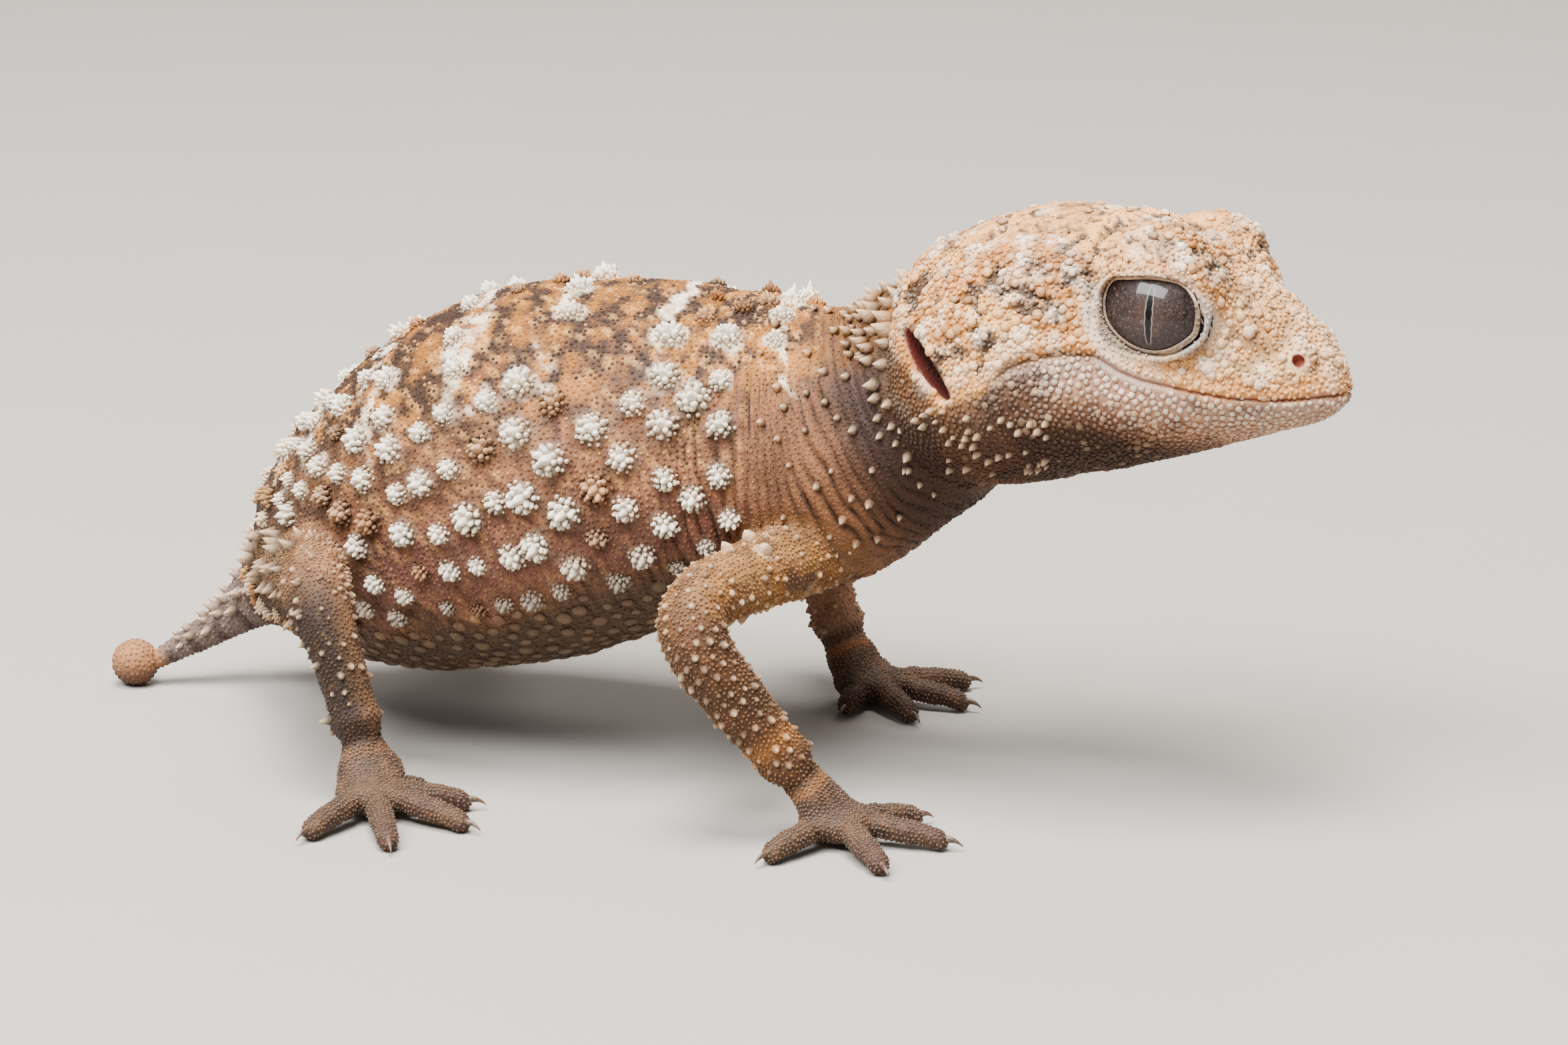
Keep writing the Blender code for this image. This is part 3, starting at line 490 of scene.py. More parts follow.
@dataclass(frozen=True)
class Trunk:
    """Tail, trunk and neck: one tube of upright ellipses along the body stations."""

    half_width: float = 17.0
    half_depth: float = 16.2
    inset: float = 0.15
    first: float = -0.6
    last: float = 12.95
    columns: int = 154
    belly_swell: float = 0.07
    fold_pitch: float = 0.95

    def frame(self, at: Array) -> Tuple[Array, ...]:
        """Centre, forward, sideways and upward vectors and the two half sizes at station numbers."""
        row = spline(BODY_STATIONS, at)
        ahead = unit((spline(BODY_STATIONS, at + 0.01) - spline(BODY_STATIONS, at - 0.01))[:, :3])
        side = unit(np.cross([0.0, 0.0, 1.0], ahead))
        half_sizes = row[:, 3:] * (self.half_width, self.half_depth)
        return row[:, :3] + SHIFT, ahead, side, np.cross(ahead, side), half_sizes

    def surface(self, at: Array, angle: Array, swell: float = 0.0) -> Array:
        """Points of the skin: angle 0 is the left side, 90 degrees the back.

        Each section is an ellipse, swollen evenly and 7 percent broader at the belly than above.
        """
        at, angle = np.broadcast_arrays(np.asarray(at, float), np.asarray(angle, float))
        centre, _, side, up, size = self.frame(at.ravel())
        turn = angle.ravel()[:, None]
        across = side * (size[:, :1] + swell) * (1.0 - self.belly_swell * np.sin(turn)) * np.cos(turn)
        points = centre + across + up * (size[:, 1:] + swell) * np.sin(turn)
        return points.reshape(*at.shape, 3)

    def locate(self, points: Array) -> Tuple[Array, Array, Array, Array]:
        """Finds points on the tube.

        Args:
            points: rows of x, y, z.

        Returns:
            Station numbers, degrees from the top of the back, 1 for left or -1 for right, and the
            height above the tube's skin.
        """
        table = np.linspace(self.first, LAST_STATION, 400)
        at = np.interp(points[:, 0], spline(BODY_STATIONS, table)[:, 0] + SHIFT[0], table)
        probe = 0.05
        for _ in range(5):
            centre, ahead, *_ = self.frame(at)
            ends = [spline(BODY_STATIONS, at + shift)[:, :3] for shift in (probe, -probe)]
            speed = np.linalg.norm(ends[0] - ends[1], axis=1)
            step = np.einsum("ij,ij->i", points - centre, ahead) * 2 * probe / speed
            at = np.clip(at + np.clip(step, -0.4, 0.4), self.first, LAST_STATION)
        centre, ahead, side, up, size = self.frame(at)
        offset = points - centre
        across = np.einsum("ij,ij->i", offset, side) / size[:, 0]
        rise = np.einsum("ij,ij->i", offset, up) / size[:, 1]
        from_top = np.degrees(np.arctan2(np.abs(across), rise))
        ratio = np.hypot(across / (1.0 - self.belly_swell * rise), rise)
        beyond = np.abs(np.einsum("ij,ij->i", offset, ahead))
        return at, from_top, np.where(across > 0, 1, -1), (ratio - 1.0) * size.min(1) + beyond

    def along(self, at: Array) -> Array:
        """Distance along the spine from the tail's tip."""
        table = np.linspace(0.0, LAST_STATION, 1301)
        steps = np.linalg.norm(np.diff(spline(BODY_STATIONS, table)[:, :3], axis=0), axis=1)
        return np.interp(at, table, np.concatenate([[0.0], np.cumsum(steps)]))

    def folds(self, points: Array, at: Array) -> Array:
        """Wandering upright folds about 0.95 mm apart: 1 in a groove and 0 on the ridges beside it."""
        phase = self.along(at) / self.fold_pitch + 0.9 * noise(points * (1.0, 1.0, 0.28), 4.2, 25, 2)
        broken = 0.55 + 0.45 * ramp(noise(points * (1.0, 1.0, 0.45), 2.6, 26, 2), -0.35, 0.25)
        return broken * (0.5 + 0.5 * np.cos(TURN * phase)) ** 3

    def ring_places(self) -> Array:
        """Stations of the rings, closer together on shoulder and neck, where the skin is folded."""
        table = np.linspace(self.first, self.last, 3000)
        spacing = np.interp(table, (0.0, 3.0, 4.0, 8.2, 8.8, 12.9), (0.45, 0.45, 0.55, 0.55, 0.25, 0.25))
        steps = np.linalg.norm(np.diff(spline(BODY_STATIONS, table)[:, :3], axis=0), axis=1) / spacing[1:]
        count = np.concatenate([[0.0], np.cumsum(steps)])
        return np.interp(np.linspace(0.0, count[-1], int(count[-1])), count, table)


@dataclass(frozen=True)
class Head:
    """Head: rounded-square sections with the domes of the eyes blended in."""

    half_width: float = 13.2
    squareness: float = 2.25
    inset: float = 0.15
    rings: int = 143
    upper: int = 132
    lower: int = 104
    place: Tuple[float, float, float] = (19.0, 0.0, 37.2)
    roll: float = math.radians(-5.8)
    yaw: float = math.radians(-7.0)
    dome_centre: Tuple[float, float, float] = (19.8, 6.3, 6.0)
    dome: Tuple[float, float, float] = (5.8, 4.9, 6.7)
    eye_centre: Tuple[float, float, float] = (20.2, 6.1, 5.25)
    eye_radius: float = 5.0
    nostril: Tuple[float, float, float] = (31.0, 4.05, 2.0)
    nostril_radius: float = 0.55
    ear_centre: Tuple[float, float, float] = (1.9, 11.7, 0.1)
    ear: Tuple[float, float, float] = (4.2, 2.6, 0.74)
    pearl_cell: float = 2.3
    pearl_reach: float = 0.55
    ear_tilt: float = math.radians(44.0)
    lid: Tuple[float, float] = (4.2, 3.05)

    @property
    def turn(self) -> Array:
        """The head's axes on the model, as a 3 x 3 matrix."""
        return np.array(Matrix.Rotation(self.yaw, 3, "Z") @ Matrix.Rotation(self.roll, 3, "X"))

    def placed(self, local: Array) -> Array:
        """Points of the head's own frame, on the model."""
        return local @ self.turn.T + np.array(self.place) + SHIFT

    def local(self, points: Array) -> Array:
        """Points on the model, in the head's own frame."""
        return (points - np.array(self.place) - SHIFT) @ self.turn

    def mouth(self, x: Array) -> Array:
        """Height of the mouth line and of the fold behind it."""
        return np.interp(x, *np.array(MOUTH_LINE).T)

    def ring_places(self) -> Array:
        """Stations parted evenly by the length of the outline that runs over crown and cheek."""
        table = np.linspace(0.0, len(HEAD_STATIONS) - 1.0, 1500)
        x, crown, _, share, _ = spline(HEAD_STATIONS, table).T
        steps = np.sqrt(np.diff(x) ** 2 + np.diff(self.half_width * share) ** 2 + np.diff(crown) ** 2)
        arc = np.concatenate([[0.0], np.cumsum(steps)])
        return np.interp(np.linspace(0.0, arc[-1], self.rings), arc, table)

    def dome_reach(self, x: Array, middle: Array, y: Array, z: Array) -> Array:
        """How far a ray from a section's middle runs to leave the dome of the eye.

        The ray (y, z) t meets the ellipsoid where a quadratic in t is zero, and the larger root is
        taken. Where it misses, the value falls away with the missed distance.
        """
        (cx, cy, cz), (a, b, c) = self.dome_centre, self.dome
        y = np.abs(y)
        first = (y / b) ** 2 + (z / c) ** 2
        second = y * cy / b**2 + z * (cz - middle) / c**2
        third = ((x - cx) / a) ** 2 + (cy / b) ** 2 + ((cz - middle) / c) ** 2 - 1.0
        inside = second**2 - first * third
        larger_root = (second + np.sqrt(np.maximum(inside, 0.0))) / first
        return np.where(inside > 0, larger_root, second / first + 60.0 * inside)

    def surface(self, at: Array) -> Array:
        """The bare head as rings x columns, in its own frame.

        Columns lie closer together towards the mouth line on both sides. The radius of each is the
        smooth maximum of the section's superellipse and of the eye's dome.
        """
        x, crown, throat, share, middle = (row[:, None] for row in spline(HEAD_STATIONS, at).T)
        rise, fall = crown - middle - self.inset, middle - throat - self.inset
        wide = share * self.half_width - self.inset
        offset = self.mouth(x) - middle
        line = np.arcsin(np.clip(offset / np.where(offset > 0, rise, fall), -0.9, 0.9))
        above, below = np.arange(self.upper) / self.upper, np.arange(self.lower) / self.lower
        above = above - 0.62 * np.sin(TURN * above) / TURN
        below = below - 0.62 * np.sin(TURN * below) / TURN
        over = line + above * (math.pi - 2 * line)
        under = math.pi - line + below * (math.pi + 2 * line)
        angle = np.concatenate([over, under], 1)
        cos, sin = np.cos(angle), np.sin(angle)
        scale = (np.abs(cos) ** self.squareness + np.abs(sin) ** self.squareness) ** (-1.0 / self.squareness)
        y, z = wide * scale * cos, np.where(sin > 0, rise, fall) * scale * sin
        bare = np.hypot(y, z)
        y, z = y / bare, z / bare
        dome = self.dome_reach(x, middle, y, z) - self.inset
        soft = np.interp(z, (0.2, 0.75), (1.4, 0.7))
        gap = np.clip(1.0 - np.abs(bare - dome) / soft, 0.0, 1.0)
        radius = np.maximum(bare, dome) + 0.25 * soft * gap**2
        for _ in range(3):
            around = 0.25 * (np.roll(radius, 1, 1) + np.roll(radius, -1, 1)) + 0.5 * radius
            radius[1:-1] = 0.25 * (around[:-2] + around[2:]) + 0.5 * around[1:-1]
        return np.stack(np.broadcast_arrays(x, y * radius, z * radius + middle), -1)

    def relief(self, local: Array) -> Array:
        """Height to add along the normal: mouth, lips, fold, crown furrows, hollows and lumps."""
        x, y, z = local.T
        wide = np.abs(y)
        height = z - self.mouth(x)
        mouth = ramp(x, MOUTH_CORNER_X - 0.8, MOUTH_CORNER_X + 1.2)
        fold = ramp(x, 7.4, 9.5) * (1.0 - mouth)
        lift = -0.26 * mouth * hump(height, 0.0, 0.13)
        lift += 0.16 * mouth * (hump(height, 0.5, 0.34) + hump(height, -0.52, 0.36))
        lift += fold * (0.3 * hump(height, 0.8, 0.6) - 0.36 * hump(height, 0.0, 0.32))
        lift -= 0.3 * self.crackle(local)
        lift += 0.16 * noise(local, 4.2, 5, 2)
        patches = ramp(z, 1.5, 4.0) * (1.0 - ramp(z, 7.6, 10.0)) * (1.0 - ramp(x, 27.0, 30.0))
        lift += 0.24 * patches * (ramp(self.plate_border(local), 0.0, 0.7) - 0.7)
        folded = fold_over(local)
        lift -= self.crease(folded, 0.4, 1.13, 0.05)
        near, _, held = self.pearls(local)
        lift += 0.3 * held * hump(near, 0.0, 0.95)
        for (cx, cy, cz), reach, amount in (
            ((27.4, 6.2, 3.6), 2.2, -0.35),
            ((31.0, 3.9, 2.1), 1.3, 0.25),
            ((24.6, 7.0, 9.2), 1.6, -0.25),
            ((7.5, 12.6, 3.2), 4.0, 0.35),
            ((5.0, 12.0, -3.2), 3.0, 0.3),
        ):
            lift += amount * np.exp(-((x - cx) ** 2 + (wide - cy) ** 2 + (z - cz) ** 2) / reach**2)
        return lift * ramp(self.ear_reach(folded, 0.3), 0.9, 1.3)

    def ear_reach(self, folded: Array, grow: float = 0.0) -> Array:
        """Distance from the ear's middle, where 1 is the edge of the slit widened by a length."""
        tilt = np.array(Matrix.Rotation(self.ear_tilt, 3, "Y"))
        return np.linalg.norm((folded - self.ear_centre) @ tilt / (np.array(self.ear) + grow), axis=1)

    def shade_behind_ear(self, x: Array, z: Array) -> Array:
        """1 where painted shade is laid below and behind the ear's slit, falling to 0 along a slanted line."""
        return ramp(1.05 - 0.684 * x - z, 0.9, 2.3) * (1.0 - ramp(x, 2.5, 5.0))

    def crackle(self, local: Array) -> Array:
        """Thin dark lines, 0 to 1: long furrows over the crown and broken angular ones elsewhere."""
        x, z = local[:, 0], local[:, 2]
        crown = ramp(z, 7.6, 10.0) * (1.0 - ramp(x, 19.0, 23.0)) * ramp(x, -2.0, 3.0)
        bent = (local + 1.3 * noise(local, 2.6, 43, 2)[:, None]) * (0.26, 1.0, 1.0)
        edge, _, _ = scales(bent, 2.5, 45)
        furrow = crown * ramp(edge, 0.28, 0.07) * ramp(noise(local, 3.4, 47, 2), -0.75, -0.25)
        broken = ramp(noise(local, 2.6, 73), -0.2, 0.15) * (1.0 - crown)
        broken *= ramp(self.lid_reach(x, z), 1.35, 1.6) * ramp(z - self.mouth(x), 1.0, 2.4)
        return np.maximum(furrow, ramp(self.plate_border(local), 0.58, 0.2) * broken)

    def plate_border(self, local: Array) -> Array:
        """Distance to the border of the irregular plates that the face's skin is parted into."""
        return scales(local + 0.6 * noise(local, 1.6, 8)[:, None], 3.0, 12)[0]

    def crease(self, folded: Array, amount: float, middle: float, reach: float) -> Array:
        """An amount in the crease round the rear of the eye's dome, at a share of the dome's size."""
        x, wide, z = folded.T
        ring = np.linalg.norm((folded - self.dome_centre) / self.dome, axis=1)
        deep = amount * hump(ring, middle, reach)
        return deep * ramp(19.4 - x, 0.5, 2.6) * ramp(z, 3.2, 4.6) * ramp(wide, 3.0, 6.0)

    def lid_reach(self, x: Array, z: Array) -> Array:
        """Distance from the eye's middle across the face, where 1 is about the lids' inner edge."""
        return np.hypot((x - self.eye_centre[0]) / self.lid[0], (z - self.eye_centre[2]) / self.lid[1])

    def on_crown(self, x: Array, z: Array) -> Array:
        """1 on the crown, falling to 0 down the temples and towards the snout."""
        return ramp(z, 8.6, 11.0) * (1 - ramp(x, 18.5, 23.0))

    def hollow_shade(self, x: Array, wide: Array, z: Array) -> Array:
        """1 in the hollow below the fold that runs from the mouth's corner to the ear, where painted shade is
        laid.
        """
        fold_x = (2.0, 4.5, 6.7, 8.2, 9.5, 12.0, 16.0)
        below = np.interp(x, fold_x, (-4.6, -2.8, -1.7, -1.0, -0.1, 0.8, 1.4)) - z
        return ramp(below, -0.1, 0.8) * (1.0 - ramp(x + 0.6 * below, 11.5, 16.5)) * ramp(wide, 2.0, 6.0)

    def jaw_band(self, local: Array) -> Array:
        """1 on the band of round beads along the lower jaw, from the mouth corner to the chin."""
        below = self.mouth(local[:, 0]) - local[:, 2]
        return ramp(below, 0.25, 0.5) * ramp(below, 3.7, 3.0) * ramp(local[:, 0], 11.5, 14.0)

    def pearls(self, local: Array) -> Tuple[Array, Array, Array]:
        """Where large pearls stand: one may rise from each irregular cell of the head.

        Args:
            local: rows of x, y, z in the head's own frame.

        Returns:
            Distance to the middle of the cell, the cell's random share, and 1 where it holds a
            pearl: dense on temple, brow and snout, sparse on the crown and none on the front jaw.
        """
        _, share, near = scales(local, self.pearl_cell, 19)
        x, z = local[:, 0], local[:, 2]
        above = z - self.mouth(x)
        crown = ramp(z, 9.8, 11.2) * (1.0 - ramp(x, 16.0, 19.0))
        upper = ramp(above, 0.9, 1.8) * (1.0 - 0.85 * crown)
        rear_jaw = ramp(-above, 3.2, 5.0) * (1.0 - ramp(x, 11.0, 15.0))
        chance = upper * (0.6 + 0.3 * hump(x, 14.2, 2.0) + 0.15 * ramp(x, 23.0, 26.0)) + 0.25 * rear_jaw
        dense = 0.45 + 0.75 * ramp(noise(local, 4.2, 71, 2), -0.5, 0.4)
        return near, share, (share < chance * dense).astype(float)

    def locate(self, points: Array) -> Tuple[Array, Array]:
        """Points in the head's own frame, and how far they lie above its bare outline."""
        local = self.local(points)
        table = spline(HEAD_STATIONS, np.linspace(0.0, len(HEAD_STATIONS) - 1.0, 400))
        x = np.clip(local[:, 0], table[0, 0], table[-1, 0])
        crown, throat, share, middle = (np.interp(x, table[:, 0], table[:, k]) for k in range(1, 5))
        z = local[:, 2] - middle
        half = np.where(z > 0, crown - middle, middle - throat)
        wide = share * self.half_width
        power = self.squareness
        ratio = (np.abs(local[:, 1] / wide) ** power + np.abs(z / half) ** power) ** (1.0 / power)
        outside = (ratio - 1.0) * np.minimum(wide, half) + np.abs(local[:, 0] - x)
        dome = (
            np.linalg.norm((fold_over(local) - self.dome_centre) / self.dome, axis=1) - 1.0
        ) * min(self.dome)
        return local, np.minimum(outside, dome)

    def mirrored(self, spot: Sequence, side: int) -> Array:
        """A place given for the left side, on the side that is asked for, on the model."""
        return self.placed(np.array(spot) * (1, side, 1))

    def eye_edge(self, count: int, grow: float = 0.0) -> Array:
        """The opening's edge about the eye's centre, moved outwards by the given width."""
        edge = closed_spline(EYE_EDGE, count)
        heading = unit(np.roll(edge, -1, 0) - np.roll(edge, 1, 0))
        return edge + grow * np.stack([heading[:, 1], -heading[:, 0]], -1)


@dataclass
class Limb:
    """One leg: an eased path from inside the trunk to the palm, its skin and its digits."""

    name: str
    corners: Sequence
    radii: Sequence
    digits: Sequence
    hind: bool
    number: int
    bend_length: float = 7.5
    inner_limit: float = 0.85
    inset: float = 0.13
    step: float = 0.15
    claw_length: float = 1.5
    columns: int = 40
    points: Array = field(init=False)
    share: Array = field(init=False)
    wide: Array = field(init=False)
    high: Array = field(init=False)

    def __post_init__(self) -> None:
        corners = np.array(self.corners) + SHIFT
        self.palm = corners[-1]
        self.points, along = self.eased(corners)
        self.share = along / along[-1]
        marks = np.array(self.radii)
        wide, high = (np.interp(self.share, marks[:, 0], marks[:, k]) - self.inset for k in (1, 2))
        self.wide, self.high = smoothed(wide), smoothed(high)
        self.ahead = unit(np.gradient(self.points, axis=0))
        steady = np.stack([smoothed(v) for v in self.ahead.T], -1)
        self.bend = np.gradient(steady, axis=0) / self.step
        self.side = unit(np.cross([0.0, 0.0, 1.0], self.ahead))
        self.up = np.cross(self.ahead, self.side)

    def eased(self, corners: Array) -> Tuple[Array, Array]:
        """Even points along straight runs whose corners are quadratic curves of the bend's length."""
        points = [corners[:1]]
        share = np.linspace(0.0, 1.0, 33)[:, None]
        for before, corner, after in zip(corners, corners[1:], corners[2:]):
            start, end = (
                corner + unit(way) * min(self.bend_length, 0.5 * np.linalg.norm(way))
                for way in (before - corner, after - corner)
            )
            points.append((1 - share) ** 2 * start + 2 * share * (1 - share) * corner + share**2 * end)
        points = np.vstack([*points, corners[-1:]])
        arc = np.concatenate([[0.0], np.cumsum(np.linalg.norm(np.diff(points, axis=0), axis=1))])
        even = np.arange(0.0, arc[-1], self.step)
        return np.stack([np.interp(even, arc, points[:, k]) for k in range(3)], -1), even

    def surface(self) -> Array:
        """The shaft as rings x columns: ellipses across the path, flattened inside its bends."""
        picks = np.arange(0, len(self.points), 3)
        turn = np.arange(self.columns) * TURN / self.columns
        cos, sin = np.cos(turn)[None, :, None], np.sin(turn)[None, :, None]
        offset = self.side[picks, None] * cos * self.wide[picks, None, None]
        offset = offset + self.up[picks, None] * sin * self.high[picks, None, None]
        bend = self.bend[picks, None]
        inward = (offset * bend).sum(-1, keepdims=True)
        tightness = np.maximum((bend * bend).sum(-1, keepdims=True), 1e-6)
        offset = offset - bend / tightness * np.maximum(inward - self.inner_limit, 0.0)
        grid = self.points[picks, None] + offset
        flat = grid.reshape(-1, 3)
        lift = 0.1 * noise(flat, 2.4, 90 + self.number) - 0.05
        share = np.repeat(self.share[picks], self.columns)
        folded = hump(share, 0.86, 0.05) + 0.5 * hump(share, 0.5, 0.06)
        lift -= 0.16 * folded * veins(flat * (0.35, 0.35, 1.5), 1.6, 70)
        lift += 0.3 * hump(share, 0.842, 0.02) - 0.3 * hump(share, 0.885, 0.014)
        return grid + grid_normals(grid) * lift.reshape(*grid.shape[:2], 1)

    def pad(self) -> Array:
        """The palm or sole, a flattened ball."""
        wide = self.radii[-2][1] - self.inset
        return ball_grid(
            self.palm, np.array([wide, wide, self.radii[-2][2] - self.inset]), rings=22, columns=30
        )

    def digit_line(self, heading: float, reach: float, count: int) -> Tuple[Array, Array, Array]:
        """Middle line, direction and radii of a digit.

        The line leaves the palm level with its middle and comes down to the floor at the tip. The
        radius narrows outwards, swells a little at each joint and closes as a quarter circle.
        """
        ahead = np.array([math.cos(math.radians(heading)), math.sin(math.radians(heading)), 0.0])
        share = np.linspace(0.08, 1.0, count)
        length = reach - self.claw_length
        line = self.palm * (1, 1, 0) + ahead * (share * length)[:, None]
        line[:, 2] = np.interp(share, (0.1, 0.45, 0.7, 0.93, 1.0), (1.85, 1.8, 1.35, 0.85, 0.75))
        line[:, 2] += 0.12 * np.sin(share * math.pi * 3.0) * (share > 0.3)
        radius = np.interp(share, (0.08, 0.45, 0.7, 0.9, 1.0), (1.24, 1.08, 0.98, 0.86, 0.8)) - 0.04
        radius = radius * (1.0 + 0.07 * sum(hump(share, joint, 0.06) for joint in (0.42, 0.66, 0.9)))
        left = np.clip((1.0 - share) * length / 0.75, 0.0, 1.0)
        return line, ahead, radius * np.sqrt(np.maximum(1.0 - (1.0 - left) ** 2, 0.03))

    def digit(self, heading: float, reach: float) -> Array:
        """One finger or toe as rings x columns, a little flatter than wide."""
        line, ahead, radius = self.digit_line(heading, reach, 30)
        across = np.array([-ahead[1], ahead[0], 0.0])
        turn = np.arange(16)[:, None] * TURN / 16
        circle = across * np.cos(turn) + np.array([0.0, 0.0, 0.94]) * np.sin(turn)
        return line[:, None] + circle * radius[:, None, None]

    def marks(self) -> Tuple[Array, Array, Array, Array]:
        """Points inside shaft and digits.

        Returns:
            The points, a share of the way (1 to 2 along a digit), a radius and a digit's number.
        """
        share = self.share[::3]
        points, shares = [self.points[::3]], [share]
        radii, which = [np.where(share > 0.9, self.high[::3], self.wide[::3])], [np.zeros(len(share))]
        for number, (heading, reach) in enumerate(self.digits, 1):
            line, _, radius = self.digit_line(heading, reach, 16)
            points.append(line[4:])
            shares.append(np.linspace(1.0, 2.0, 16)[4:])
            radii.append(radius[4:])
            which.append(np.full(12, number))
        return np.vstack(points), np.concatenate(shares), np.concatenate(radii), np.concatenate(which)

    def claws(self) -> List[Array]:
        """Curved claws as rings x columns: circles that shrink along an arc bending to the floor."""
        grids = []
        turn = np.arange(10)[:, None] * TURN / 10
        share = np.linspace(0.0, 1.0, 9)
        for heading, reach in self.digits:
            line, ahead, _ = self.digit_line(heading, reach, 30)
            across = np.array([-ahead[1], ahead[0], 0.0])
            start = line[-1] - 0.55 * ahead + (0.0, 0.0, 0.12)
            middle = start + ahead * (share * (self.claw_length + 0.35))[:, None]
            middle[:, 2] += 0.32 * np.sin(share * math.pi * 0.75) - 0.62 * share**2
            radius = 0.36 * (1.0 - share) ** 0.75 + 0.02
            circle = across * np.cos(turn) * 0.8 + np.array([0.0, 0.0, 1.0]) * np.sin(turn)
            grids.append(middle[:, None] + circle * radius[:, None, None])
        return grids


@dataclass
class Regions:
    """Where points lie on head, trunk and legs."""

    points: Array
    at: Array
    from_top: Array
    side: Array
    local: Array
    limb: Array
    share: Array
    digit: Array
    weights: Array


@dataclass
class Gecko:
    """The animal's shapes, and the rows of rosettes that pattern its back."""

    trunk: Trunk = field(default_factory=Trunk)
    head: Head = field(default_factory=Head)

    def __post_init__(self) -> None:
        kinds = (("arm", ARMS, ARM_RADII, HAND_DIGITS), ("leg", LEGS, LEG_RADII, FOOT_DIGITS))
        self.limbs = [
            Limb(f"{kind}_{side}", corners[side], radii, digits[side], kind == "leg", 2 * row + column)
            for row, (kind, corners, radii, digits) in enumerate(kinds)
            for column, side in enumerate(("right", "left"))
        ]
        self.rosettes = RosetteField(self.trunk, self.limbs)

    def regions(self, points: Array) -> Regions:
        """Finds points on every part, with a weight each for trunk, head and legs.

        A weight is exp(-t^2) of the height over that part's surface, and the three add up to one.
        """
        at, from_top, side, over_trunk = self.trunk.locate(points)
        local, over_head = self.head.locate(points)
        marks = [limb.marks() for limb in self.limbs]
        joined = np.vstack([m[0] for m in marks])
        numbers = np.concatenate([np.full(len(m[0]), k) for k, m in enumerate(marks)])
        share, radius, digit = (np.concatenate([m[k] for m in marks]) for k in (1, 2, 3))
        distance, pick = nearest(points, joined)
        over = np.abs(np.stack([over_trunk, over_head, distance - radius[pick]], -1))
        weights = np.exp(-((np.minimum(over, 12.0) / 0.9) ** 2)) + 1e-9 / (1.0 + over)
        weights /= weights.sum(1, keepdims=True)
        return Regions(points, at, from_top, side, local, numbers[pick], share[pick], digit[pick], weights)


@dataclass
class RosetteField:
    """Rosettes in staggered rows over back and flanks, set closer on the flanks."""

    trunk: Trunk
    limbs: List[Limb]
    row_step: float = 2.6
    in_row_steps: Tuple[float, float] = (13.2, 17.4)
    swelling: float = 0.62
    bars: Tuple[float, ...] = (5.15, 5.75, 6.4, 7.1, 7.72, 8.5, 10.15)

    def __post_init__(self) -> None:
        rng = np.random.default_rng(SEED)
        table = np.linspace(3.45, 10.9, 1200)
        arc = self.trunk.along(table)
        step = self.row_step * np.interp(table, (3.5, 5.6, 6.8), (0.6, 0.74, 1.0))
        count = np.concatenate([[0.0], np.cumsum(np.diff(arc) / step[1:])])
        rows = np.interp(np.arange(int(count[-1])), count, arc)
        slots = np.arange(-9, 10)
        between = np.interp(np.interp(rows, arc, table), (6.6, 7.6), self.in_row_steps)
        row, slot = (v.ravel() for v in np.meshgrid(np.arange(len(rows)), slots, indexing="ij"))
        from_top = (slot + 0.5 * (row % 2)) * between[row] + rng.uniform(-1.8, 1.8, len(row))
        place = rows[row] + rng.uniform(-0.42, 0.42, len(row))
        at = np.interp(place, arc, table)
        over = np.abs(from_top)
        keep = (over < 128) & (rng.random(len(row)) > 0.05) & ((at < 9.45) | (over < 50))
        keep &= ~((over < 52) & (row % 2 == 1) & (rng.random(len(row)) > 0.6))
        spots = self.trunk.surface(at, np.radians(90.0 - from_top))
        paths = np.vstack([limb.points[limb.share < 0.6] for limb in self.limbs])
        reach = np.concatenate([limb.wide[limb.share < 0.6] for limb in self.limbs])
        distance, pick = nearest(spots, paths)
        keep &= distance > reach[pick] + 0.9
        self.at, self.from_top, self.spots = at[keep], from_top[keep], spots[keep]
        on_top = 1.0 - ramp(np.abs(self.from_top), 46, 60)
        chance = rng.random(len(self.at))
        dull = np.interp(self.at, (5.0, 6.5, 9.0, 10.0), (0.55, 0.12, 0.12, 0.6))
        barred = (self.bar_share(self.at) > 0.16) | ((np.abs(self.from_top) > 26) & (chance > 0.45))
        self.white = np.where(on_top > 0.5, barred, chance > dull)
        size = np.interp(self.at, (3.4, 5.5, 7.6, 9.3, 10.9), (0.62, 0.82, 1.12, 1.05, 0.8))
        size *= np.interp(np.abs(self.from_top), (0, 30, 62, 98, 128), (0.9, 0.95, 1.08, 1.0, 0.72))
        plain = ~self.white & (on_top > 0.5)
        self.size = size * rng.uniform(0.72, 1.08, len(size)) * np.where(plain, 0.74, 1.0)
        shown = ~plain | (rng.random(len(size)) < 0.55)
        self.at, self.from_top, self.spots = self.at[shown], self.from_top[shown], self.spots[shown]
        self.white, self.size = self.white[shown], self.size[shown]

    def bar_share(self, at: Array) -> Array:
        """1 on the middle of a pale bar across the back, falling off over about a millimetre."""
        place = self.trunk.along(at)
        return sum(hump(place, middle, 0.8) for middle in self.trunk.along(np.array(self.bars)))

    def mound(self, points: Array) -> Array:
        """Height of the skin's swellings below the rosettes, a bell for each."""
        distance, pick = nearest(points, self.spots)
        return self.swelling * self.size[pick] * hump(distance, 0.0, 0.8 * self.size[pick])


